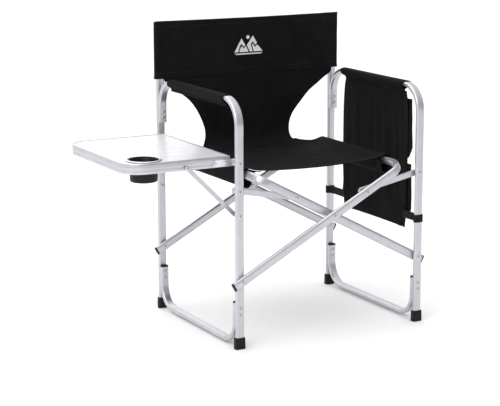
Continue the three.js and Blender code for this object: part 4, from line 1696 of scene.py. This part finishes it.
@dataclass
class Organiser:
    """Backing panel, two bellied pouches and straps of the right side."""

    shop: Workshop
    x: float = 287.5
    front: float = -184.0
    rear: float = 166.0
    top: float = 657.0
    bottom: float = 262.0
    taper: float = 14.0
    strap_z: float = 302.0

    def panel(self) -> None:
        """Sews the backing panel, hung from the arm sleeve and tied by its lower corners."""
        rows = []
        for t in np.linspace(0, 1, 64):
            z = self.bottom + (self.top - self.bottom) * t
            pull = self.taper * (1 - t) - 5.0 * math.sin(math.pi * t)
            tied = 7.0 * math.exp(-((z - self.strap_z) / 26.0) ** 2)
            begin = self.front + pull * 0.7 + 12 * t ** 10 - tied * 0.5
            end = self.rear - pull - 12 * t ** 10 + tied
            y = np.linspace(begin, end, 60)
            across = (y - begin) / (end - begin)
            sag = 5.0 * np.sin(math.pi * across) * (1 - t) ** 2
            x = self.x + 2.5 * np.sin(2.2 * math.pi * across + 0.6) * (1 - t) * t * 2
            rows.append(np.column_stack([x, y, z + sag]))
        rows = crumple(np.array(rows), 0, 3.2, 120.0, 6.4)
        rows[-3:, :, 0] = self.x
        made = self.shop.grid("organiser_backing", rows, Finish.CLOTH, Ends.OPEN, False, "alr")
        self.shop.relax(made, lambda p: 1.0 if p.z > 648 or (abs(p.z - self.strap_z) < 14 and (
            p.y < self.front + 24 or p.y > self.rear - 24)) else 0.0, 22, 0.8, 5.0, 0.006)
        self.shop.thicken(made, 1.2)
        self.shop.hang(made, "right_frame", "organiser_panel")

    def pouch(self, name: str, below: float, tall: float, deep: float) -> None:
        """Sews one pouch: a bellied face with gathered sides and a bound mouth.

        Args:
            name: "upper" or "lower".
            below: from the panel's top to the mouth.
            tall: height of the pouch.
            deep: how far its belly stands out.
        """
        half, middle = 167.0, (self.front + self.rear) / 2 - 7
        high = 653.2 - below
        ups, sides = np.linspace(0, 1, 46), np.sin(np.linspace(-math.pi / 2, math.pi / 2, 90))
        rows = []
        for t in ups:
            side = 1 - np.abs(sides) ** 18
            base = min(1.0, (t / 0.16)) ** 0.5
            belly = deep * base * (1 - 0.22 * t ** 2) * (0.9 + 0.1 * np.cos(sides * 3)) * side ** 0.35
            mouth = -4.5 * (1 - sides ** 2) * t ** 6
            z = high - tall + tall * t + mouth
            rows.append(np.column_stack([self.x + 2.6 + belly, middle + sides * half, z]))
        rows = np.array(rows)
        loose = crumple(rows, 0, 2.4, 58.0, 2.0 + below)
        share = np.clip((rows[..., :1] - self.x - 6) / 12, 0, 1)
        share = share * np.clip((half - np.abs(rows[..., 1:2] - middle)) / 12, 0.25, 1)
        rows = rows * (1 - share) + loose * share
        made = self.shop.grid(f"organiser_{name}_pocket", rows, Finish.CLOTH, Ends.OPEN, False, "lr")
        self.shop.thicken(made, 1.2)
        self.shop.hang(made, "right_frame", f"organiser_{name}_pouch")
        mouth = rows[-1]
        tape = []
        for drop, out in ((-9, 1.0), (-9, 1.5), (0.6, 1.5), (1.4, 0.2), (0.6, -1.3), (-9, -1.3), (-9, -0.9)):
            tape.append(mouth + (out, 0, drop))
        bound = self.shop.grid(f"organiser_{name}_binding", np.array(tape), Finish.WEBBING, Ends.OPEN, False)
        self.shop.hang(bound, "right_frame")

    def strap(self, name: str, sign: int, edge: float, z: float, width: float, thick: float,
              *nodes: str) -> None:
        """Loops webbing round a leg and sews it to the panel's edge.

        Args:
            name: of the piece.
            sign: -1 for the front leg, 1 for the rear post.
            edge: y of the panel's edge.
            z: height of the strap's middle.
            width: of the webbing.
            thick: of the webbing.
            nodes: the frame's nodes that it stands for.
        """
        leg = rounded_outline(27.6, 15.6, 7.8, 7) + (self.x, sign * 241.0)
        order = np.argsort((leg[:, 1] - sign * 241.0) * sign)[0]
        leg = np.roll(leg, -order, axis=0)
        tab = [(self.x + 0.8, edge - sign * 16), (self.x + 0.9, edge), (self.x + 1.2, sign * 228)]
        path = np.concatenate([tab, leg[1:-1], [(self.x - 1.0, sign * 228), (self.x - 1.3, edge - sign * 4)]])
        route = resampled(smooth_curve(path, 1), 90)
        rows = np.array([np.column_stack([route, np.full(90, z + level)])
                         for level in np.linspace(-width / 2, width / 2, 5)])
        made = self.shop.grid(name, rows, Finish.WEBBING, Ends.OPEN, False)
        self.shop.thicken(made, thick)
        self.shop.hang(made, "right_frame", *nodes)

    def build(self) -> None:
        """Builds the organiser."""
        self.panel()
        self.pouch("upper", 21.0, 166.0, 27.0)
        self.pouch("lower", 209.0, 154.0, 27.0)
        self.strap("organiser_front_webbing", -1, -172.0, self.strap_z, 22.0, 1.7, "organiser_front_strap")
        self.strap("organiser_rear_webbing", 1, 156.0, self.strap_z, 22.0, 1.7, "organiser_rear_strap")
        log.info("organiser")


# ---------------------------------------------------------------- studio


@dataclass
class Studio:
    """Floor, light and camera."""

    shop: Workshop
    eye: tuple[float, float, float] = (-2336.5, -4081.6, 1321.0)
    turn: float = 28.857
    down: float = 11.769
    lens: float = 120.2
    shift: tuple[float, float] = (-0.0228, -0.0073)
    bright_way: tuple[float, float, float] = (-0.38, 0.5, 0.78)
    dim: float = 0.32
    bright: float = 1.05
    overhead: float = 1.0
    backdrop: float = 0.97
    floor_size: float = 30.0

    def floor(self) -> None:
        """Lays the floor."""
        size = self.floor_size
        mesh = bpy.data.meshes.new("studio_floor")
        mesh.from_pydata([(-size, -size, 0), (size, -size, 0), (size, size, 0), (-size, size, 0)], [],
                         [(0, 1, 2, 3)])
        mesh.materials.append(PaleFloor().material())
        floor = bpy.data.objects.new("studio_floor", mesh)
        bpy.context.scene.collection.objects.link(floor)

    def lamp(self, name: str, place: tuple[float, float, float], size: float, power: float) -> None:
        """Hangs one soft box that faces the chair.

        Args:
            name: of the lamp.
            place: in the frame's metres.
            size: of its side.
            power: in watts.
        """
        light = bpy.data.lights.new(name, "AREA")
        light.size, light.energy = size, power
        lamp = bpy.data.objects.new(name, light)
        lamp.location = place
        lamp.rotation_euler = (Vector((0, 0, 0.4)) - Vector(place)).to_track_quat("-Z", "Y").to_euler()
        bpy.context.scene.collection.objects.link(lamp)

    def sky(self) -> None:
        """Fills the room with even white light."""
        world = bpy.data.worlds.new("studio")
        bpy.context.scene.world = world
        graph = Graph("studio", world)
        way = Signal(graph, graph.node("ShaderNodeTexCoord").outputs["Generated"])
        facing = graph.node("ShaderNodeVectorMath", {"operation": "DOT_PRODUCT"},
                            {0: way, 1: self.bright_way})
        level = Signal(graph, facing.outputs["Value"]).ramp(-0.9, 0.9, self.dim, self.bright)
        room = graph.node("ShaderNodeBackground", inputs={"Strength": level})
        room.inputs[0].default_value = (1.0, 1.0, 1.0, 1.0)
        backdrop = graph.node("ShaderNodeBackground", inputs={"Strength": self.backdrop})
        backdrop.inputs[0].default_value = (1.0, 1.0, 1.0, 1.0)
        seen = graph.node("ShaderNodeLightPath").outputs["Is Camera Ray"]
        mixed = graph.node("ShaderNodeMixShader",
                           inputs={0: seen, 1: room.outputs[0], 2: backdrop.outputs[0]})
        graph.node("ShaderNodeOutputWorld", inputs={0: mixed.outputs[0]})

    def sun(self) -> None:
        """Adds a broad soft light that falls evenly over the floor."""
        light = bpy.data.lights.new("overhead", "SUN")
        light.energy, light.angle = self.overhead, math.radians(70)
        lamp = bpy.data.objects.new("overhead", light)
        lamp.rotation_euler = Vector((0.3, -0.15, -1.0)).to_track_quat("-Z", "Y").to_euler()
        bpy.context.scene.collection.objects.link(lamp)

    def camera(self) -> None:
        """Sets the camera."""
        data = bpy.data.cameras.new("camera")
        data.lens, data.sensor_width = self.lens, 36.0
        data.shift_x, data.shift_y = self.shift
        data.clip_end = 100.0
        camera = bpy.data.objects.new("camera", data)
        camera.location = self.shop.plan.row([self.eye])[0]
        camera.rotation_euler = (math.radians(90 - self.down), 0, -math.radians(self.turn))
        bpy.context.scene.collection.objects.link(camera)
        bpy.context.scene.camera = camera

    def build(self) -> None:
        """Sets up the studio."""
        self.floor()
        self.lamp("key", (-2.3, -1.9, 2.6), 1.8, 40.0)
        self.lamp("rear", (0.6, 3.2, 2.6), 2.4, 20.0)
        self.sky()
        self.sun()
        self.camera()
        bpy.context.scene.view_settings.view_transform = "Standard"
        log.info("studio")


def main() -> None:
    """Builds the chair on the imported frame."""
    logging.basicConfig(level=logging.INFO, format="%(name)s: %(message)s")
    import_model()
    shop = Workshop(Plan.read())
    rivets = Riveter(shop)
    Studio(shop).build()
    for side in ("left", "right"):
        SideFrame(shop, rivets, side).build()
        ArmSleeve(shop, side).build()
        for end in ("front", "rear"):
            FoldingLink(shop, rivets, side, end).build()
    for letter in ("a", "b"):
        SeatFrame(shop, rivets, letter).build()
    SideTable(shop, rivets).build()
    seat = Seat(shop)
    seat.build()
    Backrest(shop, seat).build()
    Organiser(shop).build()
    log.info("%d pieces", len(shop.made))


if __name__ == "__main__":
    main()
